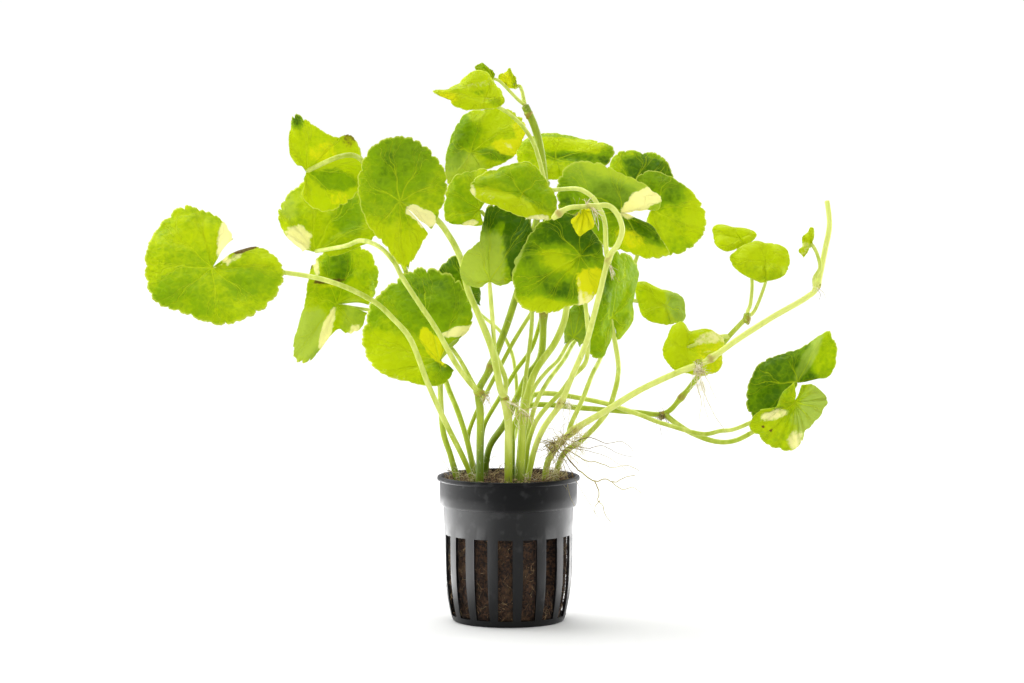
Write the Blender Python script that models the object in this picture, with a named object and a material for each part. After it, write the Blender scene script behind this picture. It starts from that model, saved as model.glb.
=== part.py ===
"""Brazilian pennywort rooted in a brown fibre plug, in a black net pot.

Metres, +Z up. The origin is the centre of the pot's flat base. The front is -Y.

The plant grew freely, so its leaves and runners have no rule of their own. They are
written down as they are seen from the front: x to the right and z up, in millimetres on
the upright plane through the pot's axis, and a depth behind that plane. A point then
lies on the line of sight from EYE through its place on the plane.
"""
import math

import bmesh
import bpy
from mathutils import Vector

MM = 0.001
GAP = 0.35 * MM                      # clearance between pieces that touch

EYE = Vector((1.3, -1200.0, 183.0)) * MM

# Net pot
POT_FLOOR = 1.4 * MM
SLOT_COUNT = 16
SLOT_WIDTH = 5.4 * MM
SLOT_BOTTOM = 2.4                    # heights in millimetres, as in the profiles below
SLOT_TOP = 32.5
SLOT_START = math.radians(-92.9)     # direction of the slot nearest the front
BASE_HOLES = 6
BASE_HOLE_SIZE = (7.0 * MM, 2.6 * MM)
BASE_HOLE_PLACE = 13.5 * MM
# Height and radius, in millimetres, up the outside of the pot
POT_OUTSIDE = (
    (0.0, 20.6), (1.0, 21.0), (2.4, 21.4), (12.0, 23.1), (22.0, 23.75), (32.5, 23.8),
    (42.6, 24.2), (43.1, 25.4), (52.0, 25.5), (52.5, 26.5), (54.0, 26.5),
)
# The same up the inside, from the floor to the lip
POT_INSIDE = ((1.4, 20.2), (2.4, 20.4), (12.0, 22.1), (22.0, 22.75), (32.5, 22.8),
              (42.6, 23.2), (44.0, 24.4), (54.0, 24.6))

# Plug of fibrous growing medium
PLUG_PROFILE = ((1.8, 19.2), (12.0, 21.1), (22.0, 21.8), (32.5, 21.8), (42.6, 22.0), (49.5, 21.0),
                (51.6, 17.5), (52.2, 10.0))
PLUG_TOP = 52.3 * MM
PLUG_SIDES = 20
PLUG_ROUGHNESS = 0.25 * MM
SOCKET_DEPTH = 6.0 * MM
SOCKET_CLEARANCE = 0.6 * MM
SOCKET_SIDES = 8

# Leaves
BLADE_THICKNESS = 0.6 * MM
BLADE_COLUMNS = 16
SHOULDER = 0.6                       # how far out a blade's middle ring lies

# Leaf blades, seen from the front. The rim is measured from the heart, where the stalk
# joins, and runs from one side of the cleft to the other. The blade's plane leans back by
# slope, in depth per x and per z, and a third number sets a point behind that plane.
LEAVES = {
    "leaf_far_left": dict(
        heart=(-109.5, 131, -22), slope=(0.05, 0.6),
        rim=(
            (9, 5.5), (18.5, 7.5), (25.5, 2), (26.5, -5), (20.5, -14.5), (10, -20.5), (0.5, -21),
            (-12, -16.5), (-21.5, -12.5), (-25, -2.5), (-23.5, 9), (-18.5, 18), (-10, 23), (-2.5, 21),
            (4, 17.5), (8, 11.5, -1)
        ),
    ),
    "leaf_left_high": dict(
        heart=(-74.5, 166.5, -22), slope=(0.45, 0.3),
        rim=(
            (-1.5, -5.5), (-1.5, -9), (1.5, -13), (7.5, -15), (14, -12.5), (19, -8), (21.5, 0),
            (20, 8.5), (16, 14), (11.5, 12.5), (6, 14.5), (0.5, 18.5), (-4.5, 21.5, -2), (-6.5, 14.5),
            (-6, 7), (-3, 2.5)
        ),
    ),
    "leaf_left_back": dict(
        heart=(-71.5, 137, -3), slope=(0.1, 0.6),
        rim=(
            (5.5, -1.5), (13.5, 0.5), (21.5, 4.5), (26.5, 13.5), (22.5, 22.5), (13, 27), (2.5, 28),
            (-7.5, 24), (-13, 17), (-13, 11), (-10, 5), (-5, 0)
        ),
    ),
    "leaf_left_low": dict(
        heart=(-63.5, 117.5, 20), slope=(0.2, 0.5),
        rim=(
            (11, -3.5), (9, -9), (4, -11), (0, -9.5), (-6.5, -17), (-10.5, -21.5), (-15, -21),
            (-16.5, -15.5), (-13.5, -6), (-11.5, 1.5), (-10.5, 9.5), (-9, 15.5), (-4.5, 20), (2, 21.5),
            (8, 22), (13.5, 17.5), (16, 11), (14.5, 4), (11.5, 0)
        ),
    ),
    "leaf_left_front": dict(
        heart=(-40, 155.5, -42), slope=(0.1, 0.35),
        rim=(
            (7, -7.5, -1), (12, -10, -3), (14.5, -4), (17, 2), (17.5, 9.5), (14.5, 15.5), (9, 21),
            (3.5, 24), (-3.5, 23.5), (-10.5, 20), (-14.5, 14), (-16, 6.5), (-14.5, -2.5), (-11, -10.5),
            (-6, -16), (-2.5, -21), (2, -25.5), (4.5, -22.5), (7.5, -17), (10.5, -12, -2)
        ),
    ),
    "leaf_left_wide": dict(
        heart=(-25.5, 96.5, -10), slope=(-0.1, 0.6),
        rim=(
            (5.5, -3.5), (2.5, -8), (-3.5, -9.5), (-13.5, -7.5), (-21, -5), (-26.5, 0), (-29, 8),
            (-27, 15), (-25.5, 21.5), (-20.5, 26.5), (-15, 32), (-8.5, 35), (-1, 33.5), (7, 30),
            (11, 23.5), (12.5, 16), (10.5, 11), (4.5, 7.5, -2)
        ),
    ),
    "leaf_top": dict(
        heart=(-8, 193.5, -3), columns=12, slope=(0.2, 0.8),
        rim=(
            (2.5, -4), (-1.5, -4), (-7, -4.5), (-11.5, -3), (-15, -0.5), (-20, 2.5), (-14, 5),
            (-7.5, 8), (-2, 9), (2, 8.5), (5, 5), (6, 0)
        ),
    ),
    "leaf_top_bud": dict(
        heart=(2, 197, 13), columns=7, slope=(0.3, 0.2),
        rim=(
            (1, 1.5), (0.5, 5), (-1, 7.5), (-4, 6.5), (-6, 3.5), (-3.5, 0.5)
        ),
    ),
    "leaf_top_curled": dict(
        heart=(-5.5, 200.5, 10.5), columns=6, slope=(0.2, 0.4),
        rim=(
            (0, 2.5), (-3, 5.5), (-7, 5), (-5, 1.5), (-2, -1)
        ),
    ),
    "leaf_upper_middle": dict(
        heart=(-14, 173.5, 9), slope=(0.1, 0.6),
        rim=(
            (4, -7), (11, -4.5), (16, -1.5), (19, 4), (20.5, 9), (19, 13.5), (14, 16), (8, 16.5),
            (4.5, 15.5), (-1, 15.5),
            (-5.5, 10), (-8, 3), (-9, -4), (-8.5, -11.5), (-4, -8.5)
        ),
    ),
    "leaf_middle_left": dict(
        heart=(-10.5, 152.5, -4), slope=(-0.2, 0.3),
        rim=(
            (1.5, -5.5), (-3.5, -6), (-8.5, -5.5), (-12.5, -4), (-13.5, 2), (-12.5, 7), (-9, 12),
            (-3.5, 14.5), (1.5, 15), (4.5, 9.5), (4, 4.5)
        ),
    ),
    "leaf_front_high": dict(
        heart=(5, 158.5, -36), slope=(-0.1, 0.45),
        rim=(
            (7, -10, -3), (2, -9.5, -3), (-3.5, -7.5, -3), (-9.5, -5, -3), (-15.5, -3, -2), (-19, 0.5),
            (-18, 4.5), (-14, 8), (-8, 10), (-2.5, 11), (3, 11), (7.5, 8), (10.5, 3.5), (13, -2.5),
            (12.5, -7.5)
        ),
    ),
    "leaf_back_high": dict(
        heart=(17.5, 171, 34), columns=13, slope=(0, 0.7),
        rim=(
            (2, -7), (9, -6), (16.5, -4), (19.5, -1.5), (21.5, 2.5), (17.5, 6), (11.5, 8.5),
            (3.5, 9.5), (-4, 9.5), (-9.5, 8), (-14, 5.5), (-14.5, 0.5), (-12, -4), (-5.5, -7)
        ),
    ),
    "leaf_right_folded": dict(
        heart=(42, 151.5, -8), slope=(0, 0),
        rim=(
            (9, 1.5, -2), (13.5, 2.5, -4), (14, 6, -6), (7, 11, -8), (-0.5, 14.5, -9),
            (-6.5, 17.5, -10), (-12.5, 19, -9), (-19.5, 18, -7), (-23.5, 13, -2), (-24.5, 7.5, 2),
            (-24, 1.5, 3), (-18, -3, 2), (-12, -7, 0), (-7, -12, -3), (-2, -14, -7),
            (3, -15, -10), (8.5, -17, -11), (14, -17, -12), (17.5, -15.5, -10), (15, -11, -8),
            (12, -6.5, -6), (7.5, -3, -3)
        ),
    ),
    "leaf_right_back": dict(
        heart=(45.5, 159.5, 32), slope=(0, 0.6),
        rim=(
            (5, -2.5), (11.5, -0.5), (16.5, 2.5), (15, 6), (12, 10.5), (8.5, 13.5), (3, 14.5),
            (-3.5, 14), (-7.5, 11.5), (-9, 7), (-7.5, 2.5), (-3.5, -1)
        ),
    ),
    "leaf_right_round": dict(
        heart=(53, 152.5, 22), slope=(0.1, 0.35),
        rim=(
            (-2, -3.5), (1, -11.5), (6.5, -17), (13.5, -15), (17, -12), (19.5, -8), (20.5, -2.5),
            (19, 2), (15.5, 6), (10.5, 9.5), (4.5, 13.5), (-1.5, 14.5), (-5.5, 11.5), (-6, 6), (-4, 2)
        ),
    ),
    "leaf_front": dict(
        heart=(26.5, 135.5, -38), slope=(-0.1, 0.3),
        rim=(
            (7.5, 4.5), (9.5, -1), (9.5, -6), (7.5, -12), (2.5, -18), (-2.5, -18.5), (-7.5, -20.5),
            (-13, -21.5), (-19.5, -20.5), (-23.5, -17), (-25, -10), (-24.5, -2.5), (-21, 4.5),
            (-16.5, 11), (-11, 15), (-4.5, 15.5), (1, 13.5), (4.5, 9.5)
        ),
    ),
    "leaf_middle_folded": dict(
        heart=(-7, 126, -32), slope=(0, 0),
        rim=(
            (-4, -2.5, -1), (-8.5, -2, -3), (-11, 3.5, -4), (-9.3, 10, -3), (-4, 15, 1),
            (-3, 19, 4), (-2, 24, 8), (-0.5, 28, 10), (4, 29, 11), (11.5, 27.5, 9), (15.5, 22.5, 4),
            (17, 14, 1), (15.5, 6, -1),
            (10, 0, -1), (4, -2)
        ),
    ),
    "leaf_right_hanging": dict(
        heart=(38, 112.5, 8), slope=(1.2, 0.1),
        rim=(
            (2, -10.5), (4.5, -5), (7.5, 0.5), (9, 5), (10, 11), (10, 18), (7.5, 22.5), (2, 25),
            (-1.5, 17), (-4, 9), (-6.5, 0), (-8, -8), (-7.5, -14), (-4, -15), (-1.5, -12)
        ),
    ),
    "leaf_right_middle": dict(
        heart=(58, 117, 34), slope=(0, 0.6),
        rim=(
            (2, -7), (7.5, -5.5), (7.5, -1), (6, 3), (1.5, 6), (-5, 8), (-10.5, 8), (-11, 3),
            (-9.5, -2.5), (-6.5, -5.5), (-1.5, -7)
        ),
    ),
    "leaf_right_pale": dict(
        heart=(66, 101.5, -10), columns=14, slope=(0.1, 0.5),
        rim=(
            (2, 6.5), (7, 7), (11, 5.5), (14, 3), (14, -3), (12.5, -8), (7.5, -10.5), (1, -10),
            (-4.5, -8.5), (-8, -5), (-9, -1), (-8, 3), (-5, 9), (-1, 9.5)
        ),
    ),
    "leaf_pair_left": dict(
        heart=(85.5, 141.5, -6), columns=9, slope=(-0.2, 0.8),
        rim=(
            (-0.5, -3), (-5, -4.5), (-9, -2), (-10.5, 2), (-9, 4), (-4, 5), (1.5, 4.5), (6, 1.5),
            (3.5, -1.5)
        ),
    ),
    "leaf_pair_right": dict(
        heart=(94.5, 133, -14), columns=11, slope=(0.1, 0.6),
        rim=(
            (0.5, -7), (5.5, -6), (9, -3), (9.5, 0.5), (7.5, 4.5), (2.5, 7.5), (-3, 8.5), (-8.5, 5.5),
            (-13, 1.5), (-9.5, -3.5), (-4, -6.5)
        ),
    ),
    "leaf_far_right_bud": dict(
        heart=(111, 138.5, -15), columns=6, slope=(0.3, 0.2),
        rim=(
            (1, 2.5), (0.5, 7), (-2, 3), (-3.5, -1.5), (-2, -3.5)
        ),
    ),
    "leaf_low_right_back": dict(
        heart=(107, 88.5, 4), slope=(0, 0.2),
        rim=(
            (6, 0.5, -2), (11, 2, -6), (14, 6, -8), (14.5, 13, -8), (11.5, 19.5, -6), (6.5, 16, -1),
            (1.5, 12.5, 3), (-3.5, 11.5, 2), (-10, 10, 0), (-15, 6, -1), (-18.5, -2, -2),
            (-19, -8.5, -2), (-17, -13, -2), (-11, -13, -1), (-4, -9.5)
        ),
    ),
    "leaf_low_right_front": dict(
        heart=(106, 81.5, -13), slope=(0.1, -0.2),
        rim=(
            (2.5, 6.5), (7, 6.5), (11, 2.5), (11.5, -1), (8, -8), (4.5, -12), (2, -16.5),
            (-2.5, -18.5), (-7.5, -18), (-12.5, -14.5), (-17, -9), (-13.5, -4.5), (-7, -2.5)
        ),
    ),
    "leaf_yellow": dict(
        heart=(27.9, 152.8, -51), columns=9, slope=(0.1, 0),
        rim=(
            (1.2, -0.3), (3, -2.5), (3, -6.5), (1.2, -8), (-1.2, -10.2), (-2.8, -9), (-4.7, -6),
            (-3.7, -3.5), (-2, -1)
        ),
    ),
    "leaf_left_hidden": dict(
        heart=(-15.5, 119, 26), columns=9, slope=(0, 0.3),
        rim=(
            (5, -2), (5, 4), (3, 10.5), (-1.5, 15.5), (-7, 15.5), (-10, 11), (-9, 4), (-5.5, -2)
        ),
    ),
    "leaf_right_small": dict(
        heart=(24, 105, 15), columns=9, slope=(0.1, 0.3),
        rim=(
            (3, -3.5), (6, 1), (6, 8), (3, 13), (-1.5, 11), (-4, 5), (-3.5, -2)
        ),
    ),
}

# Runners and stems, each with its width in millimetres. Planted ones give x and depth in
# the plug. A swelling is (place along the points, growth).
STEMS = {
    "stem_left": dict(
        width=3.0, planted=(-10.5, -13), swellings=((6, 0.3),), steps=11,
        route=((-10.5, 67, -15), (-10.5, 78, -16.5), (-11, 85.5, -17.5), (-6.5, 94.5, -14),
               (0, 111.5, -6), (5.5, 130, 4), (10, 147, 12), (14.5, 163, 24)),
    ),
    "stem_middle": dict(
        width=3.1, planted=(0, -13), swellings=((5, 0.3),), steps=5, taper=0.95,
        route=((0, 64, -14), (0, 74, -15.5), (-1.5, 83, -17)),
    ),
    "stem_top": dict(
        width=2.4, planted=(-9, 8), swellings=((8, 0.35), (14, 0.3)), steps=14, taper=1.2,
        route=((-7, 64.5, 6), (-1.5, 73, 3), (3, 82.5, 5), (7, 91, 7), (12, 98.5, 9), (13, 114.5, 9),
               (14, 141.5, 12), (13.5, 160, 14), (12, 174, 14), (9.5, 183.5, 13), (6, 191, 12)),
    ),
    "stem_right": dict(
        width=2.3, planted=(7, -8.5), swellings=((5, 0.45), (10, 0.4), (15, 0.4)), steps=17,
        route=((9.5, 63, -8.5), (13, 71.5, -9), (19.5, 81, -10), (23, 89.5, -16), (28.5, 102.5, -29),
               (31.5, 113, -41), (34, 123, -46.5), (37, 134.5, -47), (40.5, 140, -48), (42, 145.5, -48),
               (40, 151, -47), (36.5, 154, -47), (30, 153.5, -48), (22, 153, -50), (16, 149, -50)),
    ),
    "stem_far_right": dict(
        width=2.5, planted=(13.5, -4), swellings=((4, 0.4), (10, 0.5), (14, 0.5)), steps=19,
        route=((15.5, 61, -4), (24, 70.5, -6), (37, 78.5, -10), (47.5, 85, -13), (56.5, 89.5, -15),
               (64.5, 93, -17), (70, 95, -18), (75, 97.5, -19), (85.5, 105, -20), (98, 113, -20),
               (110, 120, -18), (114, 124.5, -17), (117, 138, -14), (118.5, 147, -12), (117.5, 156, -10)),
    ),
    "stem_low_right": dict(
        width=2.3, planted=(1.5, 3), swellings=((9, 0.5), (13, 0.4)), steps=16,
        route=((1.5, 63.5, 5), (2, 72.5, 8), (8.5, 80, 13), (27.5, 79, 14), (46.5, 77.5, 14),
               (57.5, 77, 12), (64, 83, 9), (73, 94.5, 3), (81, 105, -3), (88, 112.5, -7)),
    ),
}

# Leaf stalks that are pieces of their own. Each one ends close to its leaf's heart, on
# the blade's back, or on its front where ends_in_front is given.
STALKS = {
    "stalk_far_left": dict(
        leaf="leaf_far_left", width=2.2, planted=(-13, -8), steps=12,
        route=((-17, 61, -11), (-23.5, 74, -16), (-30, 88.5, -22), (-36, 104, -27), (-42.5, 112, -29),
               (-50.5, 119, -29), (-66, 126, -27), (-85, 129.5, -19), (-100, 131, -19)),
    ),
    "stalk_left_high": dict(
        leaf="leaf_left_high", width=2.2, planted=(-12.5, -1), steps=13, ends_in_front=True,
        route=((-15, 65.5, -1), (-18.5, 77, 1), (-22.5, 87, 5), (-27, 100.5, 12), (-32.5, 115.5, 16),
               (-38, 130, 14), (-43.5, 145, 4), (-49, 159.5, -9), (-54.5, 171, -20), (-62, 172, -25),
               (-69, 169.5, -26)),
    ),
    "stalk_left_back": dict(
        leaf="leaf_left_back", width=2.0, steps=10, ends_in_front=True,
        route=((-13.5, 87.5, -21), (-19.5, 95.5, -26), (-26.5, 108, -32), (-33.5, 118.5, -35),
               (-39, 127, -34), (-42.5, 133.5, -33), (-48, 139, -30), (-54.5, 141, -24),
               (-60.5, 139, -18), (-67, 137.5, -10)),
    ),
    "stalk_left_low": dict(
        leaf="leaf_left_low", width=1.6, steps=9,
        route=((-13, 88, -13.5), (-18, 97, -11), (-22.5, 103, -4), (-27, 107, 4), (-32.5, 111.5, 10),
               (-42, 114.5, 16), (-52, 115.5, 21), (-60, 116.5, 22)),
    ),
    "stalk_left_front": dict(
        leaf="leaf_left_front", width=2.7, steps=10,
        route=((-3, 86.5, -21), (-4.5, 94, -23), (-6.5, 102, -24), (-11, 113.5, -24), (-15, 123, -22),
               (-17.5, 134, -22), (-22, 143, -26), (-28, 150, -32), (-36, 154.5, -38)),
    ),
    "stalk_left_wide": dict(
        leaf="leaf_left_wide", width=2.6, planted=(-19, -3), steps=6,
        route=((-21.5, 61.5, -3), (-24.5, 72.5, -4), (-25.5, 87, -6)),
    ),
    "stalk_upper_middle": dict(
        leaf="leaf_upper_middle", width=1.9, planted=(-10, 13), steps=13,
        route=((-10, 63.5, 13), (-9, 72.5, 13), (-3.5, 82.5, 11), (2.5, 92.5, 11), (9.5, 103.5, 15),
               (13.5, 123, 20), (10, 141.5, 20), (-2, 158, 19), (-10, 168, 15)),
    ),
    "stalk_middle_left": dict(
        leaf="leaf_middle_left", width=1.8, planted=(3, -3), steps=10,
        route=((4, 63.5, -2), (5, 78.5, 0), (6.5, 91.5, 0), (8.5, 108.5, -6), (8.5, 118, -8),
               (6, 132, -6), (-2, 147, -4)),
    ),
    "stalk_front_high": dict(
        leaf="leaf_front_high", width=1.9, steps=9,
        route=((36, 138.5, -43), (35.5, 148, -41), (33, 154, -40), (30.5, 157.5, -39),
               (26, 160, -37), (20, 160, -33), (12, 158, -31)),
    ),
    "stalk_right_folded": dict(
        leaf="leaf_right_folded", width=1.8, planted=(-11.5, 6), steps=14,
        route=((-13.5, 60, 6), (-15, 68, 5), (-12.5, 76, 2), (-8, 85, -2), (-3, 94.5, -4),
               (1.5, 103, -3), (7, 112, 0), (15.5, 124.5, 3), (24.5, 137.5, 6), (35, 147.5, 2)),
    ),
    "stalk_right_back": dict(
        leaf="leaf_right_back", width=2.9, planted=(4.5, -13), steps=10,
        route=((5, 63.5, -13), (5.5, 77, -12), (8, 87.5, -11), (11, 94.5, -10), (17, 103, -8),
               (20.5, 111, -6), (22, 118, -3), (26, 130, 6), (35, 147, 22)),
    ),
    "stalk_right_round": dict(
        leaf="leaf_right_round", width=1.9, steps=9,
        route=((23, 72.5, -3), (27.5, 82.5, 1), (31, 91.5, 6), (34, 97.5, 12), (38.5, 110, 24),
               (43.5, 123, 30), (48, 136, 31)),
    ),
    "stalk_front": dict(
        leaf="leaf_front", width=2.0, planted=(6.5, -3.5), steps=12,
        route=((7, 64, -3.5), (9.5, 72.5, -4), (13, 78, -4.5), (19.5, 85, -5), (23.5, 90.5, -7),
               (28.5, 96, -12), (29.5, 104, -21), (29, 112.5, -29), (28, 121, -33)),
    ),
    "stalk_middle_folded": dict(
        leaf="leaf_middle_folded", width=1.9, steps=6,
        route=((-1, 89, -14), (-3, 95, -16), (-5, 100, -19), (-5.5, 107, -23), (-6.5, 115, -27)),
    ),
    "stalk_right_hanging": dict(
        leaf="leaf_right_hanging", width=2.3, planted=(17, 2), steps=10,
        route=((20.5, 62, 2), (26.5, 66.5, 1), (33, 73, 0), (37, 78.5, 0), (39, 84, 1),
               (40.5, 90.5, 4), (40.5, 97, 9), (39.5, 104, 12.5)),
    ),
    "stalk_right_middle": dict(
        leaf="leaf_right_middle", width=1.9, planted=(6, 3), steps=12,
        route=((6.5, 64, 2.5), (8.5, 75, 3), (11, 82.5, 4), (15, 89.5, 9), (20.5, 97, 17),
               (24, 103, 23), (30, 111.5, 29), (40, 119, 36), (50.5, 119, 40)),
    ),
    "stalk_low_right_back": dict(
        leaf="leaf_low_right_back", width=2.2, steps=7,
        route=((60, 75, 11), (66.5, 70.5, 8), (75, 67, 6), (82, 66.5, 5), (88.5, 69, 6),
               (95, 74, 9), (102, 82, 10)),
    ),
    "stalk_low_right_front": dict(
        leaf="leaf_low_right_front", width=2.0, steps=10,
        route=((9, 83.5, 17), (14.5, 84.5, 19), (25, 83, 18), (37, 80.5, 14), (43, 78.5, 9),
               (50, 76, 5), (56.5, 73.5, 2), (71, 69.5, -4), (78.5, 70.5, -7), (86, 72, -9),
               (97, 76, -10)),
    ),
}

# Leaves whose short stalk is grown into the blade, in one piece
GROWN_STALKS = {
    "leaf_top": dict(
        width=1.7, steps=7,
        route=((12.5, 166.5, 10.4), (11.2, 171.5, 10.2), (9.2, 177, 9.4), (6.5, 181.5, 8), (4, 184.5, 6),
               (0, 188, 3), (-5, 191, 0)),
    ),
    "leaf_top_bud": dict(width=1.5, steps=3, route=((5.5, 193.5, 13.5), (5, 196, 13.5), (4, 198, 13))),
    "leaf_top_curled": dict(
        width=1.3, steps=4, route=((3.5, 193, 9.5), (0.5, 196, 8.5), (-3, 199.5, 9.5), (-5, 200.5, 10)),
    ),
    "leaf_back_high": dict(
        width=1.8, steps=5,
        route=((13.9, 161.6, 27.4), (14, 163.2, 31.5), (14.5, 166.5, 36), (16, 169.8, 37.5)),
    ),
    "leaf_right_pale": dict(
        width=1.7, steps=4, route=((78.5, 105.5, -5), (74, 104, -8), (69, 102.5, -10)),
    ),
    "leaf_pair_left": dict(
        width=1.5, steps=6,
        route=((88.5, 115, -8), (89.5, 118, -9), (90, 126, -8), (88.5, 133, -7), (86, 139, -6)),
    ),
    "leaf_pair_right": dict(
        width=1.4, steps=4, route=((90.5, 114.5, -7), (92.5, 118.5, -10), (95, 126, -13), (95, 131, -14)),
    ),
    "leaf_far_right_bud": dict(
        width=1.5, steps=5, route=((113, 127, -19.5), (115, 131, -20), (114, 136, -18), (112, 139.5, -15.5)),
    ),
    "leaf_yellow": dict(width=1.2, steps=3, route=((28.2, 150.9, -49.4), (28.1, 151.6, -50.2))),
    "leaf_left_hidden": dict(
        width=1.5, steps=8,
        route=((3, 72, 17), (3, 86.5, 20), (2.5, 92.5, 20), (1.5, 98.5, 20), (-1, 104.5, 21),
               (-4, 108.5, 23), (-10.5, 114, 28), (-14.5, 118.5, 29)),
    ),
    "leaf_right_small": dict(
        width=1.7, steps=7, planted=(7, 9),
        route=((7, 64, 8), (7, 78.5, 7), (9.5, 86.5, 8), (14, 92.5, 9.5), (18.5, 97, 12), (22, 103, 14.5)),
    ),
}

# Tangles of fine roots, as (x, z, depth) and half sizes in x, y and z
ROOTS = {
    "roots_runner_base": dict(place=(20.5, 66.5, -10.5), size=(5.5, 2.6, 4.5)),
    "roots_runner_middle": dict(place=(72.5, 88, -21), size=(2.6, 1.8, 6.0)),
    "roots_stem_middle": dict(place=(4.5, 79, -18.5), size=(3.4, 1.6, 3.6)),
    "roots_low_right": dict(place=(57.0, 73.5, 13.5), size=(2.0, 1.5, 1.9)),
}

# Colours
BLACK_PLASTIC = (0.045, 0.048, 0.052)
BROWN_FIBRE = (0.16, 0.085, 0.04)
LEAF_GREEN = (0.30, 0.52, 0.03)
STEM_GREEN = (0.50, 0.66, 0.18)
ROOT_TAN = (0.42, 0.30, 0.16)


def clear_scene():
    for thing in list(bpy.data.objects):
        bpy.data.objects.remove(thing, do_unlink=True)


def material(name, colour, roughness):
    finish = bpy.data.materials.new(name)
    finish.use_nodes = True
    shader = finish.node_tree.nodes["Principled BSDF"]
    shader.inputs["Base Color"].default_value = (*colour, 1.0)
    shader.inputs["Roughness"].default_value = roughness
    shader.inputs["Metallic"].default_value = 0.0
    return finish


def add_object(name, data, finish):
    thing = bpy.data.objects.new(name, data)
    bpy.context.scene.collection.objects.link(thing)
    data.materials.append(finish)
    return thing


def solid(name, points, faces, finish, smooth_angle=None):
    mesh = bpy.data.meshes.new(name)
    mesh.from_pydata([tuple(point) for point in points], [], faces)
    mesh.update()
    if smooth_angle is not None:
        mesh.shade_smooth()
        mesh.set_sharp_from_angle(angle=math.radians(smooth_angle))
    return add_object(name, mesh, finish)


def sight(x, z, depth):
    """The point at a depth on the line of sight through a place on the front plane."""
    on_plane = Vector((x, 0.0, z)) * MM
    reach = (depth * MM - EYE.y) / -EYE.y
    return EYE + (on_plane - EYE) * reach


def through(points, place):
    """A smooth curve through points, read at place, which counts the points."""
    last = len(points) - 1
    index = min(int(place), last - 1)
    step = place - index
    before = points[max(index - 1, 0)]
    start = points[index]
    end = points[index + 1]
    after = points[min(index + 2, last)]
    bend = (end - before) * 0.5
    bow = (after - start) * 0.5
    square = step * step
    cube = square * step
    return (start * (2 * cube - 3 * square + 1) + bend * (cube - 2 * square + step)
            + end * (3 * square - 2 * cube) + bow * (cube - square))


def union(thing, other):
    """Grows thing together with other, which stays as a hidden guide."""
    other.hide_render = True
    other.display_type = "WIRE"
    joint = thing.modifiers.new("grown together", "BOOLEAN")
    joint.operation = "UNION"
    joint.solver = "EXACT"
    joint.object = other


def cut(thing, cutter):
    cutter.hide_render = True
    cutter.display_type = "WIRE"
    opening = thing.modifiers.new("opening", "BOOLEAN")
    opening.operation = "DIFFERENCE"
    opening.solver = "EXACT"
    opening.object = cutter


def pot_angles():
    """Directions of the slots' edges: a slot, then a rib, all the way round."""
    half_slot = math.asin(SLOT_WIDTH / 2 / (23.5 * MM))
    angles = []
    for slot in range(SLOT_COUNT):
        middle = SLOT_START + slot * math.tau / SLOT_COUNT
        angles += [middle - half_slot, middle + half_slot]
    return angles


def ring(height, radius, angles):
    return [Vector((radius * math.cos(a), radius * math.sin(a), height)) * MM for a in angles]


def beside_slot(height):
    return SLOT_BOTTOM <= height <= SLOT_TOP


def make_pot(finish):
    """A turned pot whose wall is left out at the slots, closed round each slot's edge."""
    angles = pot_angles()
    around = len(angles)
    points = []
    for height, radius in POT_OUTSIDE + POT_INSIDE:
        points += ring(height, radius, angles)
    outside_rows = len(POT_OUTSIDE)
    rows = outside_rows + len(POT_INSIDE)
    slot_rows = [row for row, (height, _) in enumerate(POT_OUTSIDE) if beside_slot(height)]
    inside_rows = [outside_rows + row for row, (height, _) in enumerate(POT_INSIDE)
                   if beside_slot(height)]

    def at(row, column):
        return row * around + column % around

    faces = []
    for row in range(outside_rows - 1):
        for column in range(around):
            in_slot = column % 2 == 0 and slot_rows[0] <= row < slot_rows[-1]
            if not in_slot:
                faces.append((at(row, column), at(row, column + 1),
                              at(row + 1, column + 1), at(row + 1, column)))
    for row in range(outside_rows, rows - 1):
        for column in range(around):
            in_slot = column % 2 == 0 and inside_rows[0] <= row < inside_rows[-1]
            if not in_slot:
                faces.append((at(row, column + 1), at(row, column),
                              at(row + 1, column), at(row + 1, column + 1)))
    for column in range(around):
        lip = outside_rows - 1
        faces.append((at(lip, column), at(lip, column + 1),
                      at(rows - 1, column + 1), at(rows - 1, column)))
    for column in range(0, around, 2):
        for out_low, in_low in zip(slot_rows[:-1], inside_rows[:-1]):
            faces.append((at(in_low, column), at(in_low + 1, column),
                          at(out_low + 1, column), at(out_low, column)))
            faces.append((at(out_low + 1, column + 1), at(in_low + 1, column + 1),
                          at(in_low, column + 1), at(out_low, column + 1)))
        faces.append((at(slot_rows[0], column + 1), at(inside_rows[0], column + 1),
                      at(inside_rows[0], column), at(slot_rows[0], column)))
        faces.append((at(inside_rows[-1], column), at(inside_rows[-1], column + 1),
                      at(slot_rows[-1], column + 1), at(slot_rows[-1], column)))
    faces.append(tuple(at(0, column) for column in reversed(range(around))))
    faces.append(tuple(at(outside_rows, column) for column in range(around)))
    pot = solid("pot", points, faces, finish, 35.0)
    cut(pot, base_hole_cutter(finish))
    return pot


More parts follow.
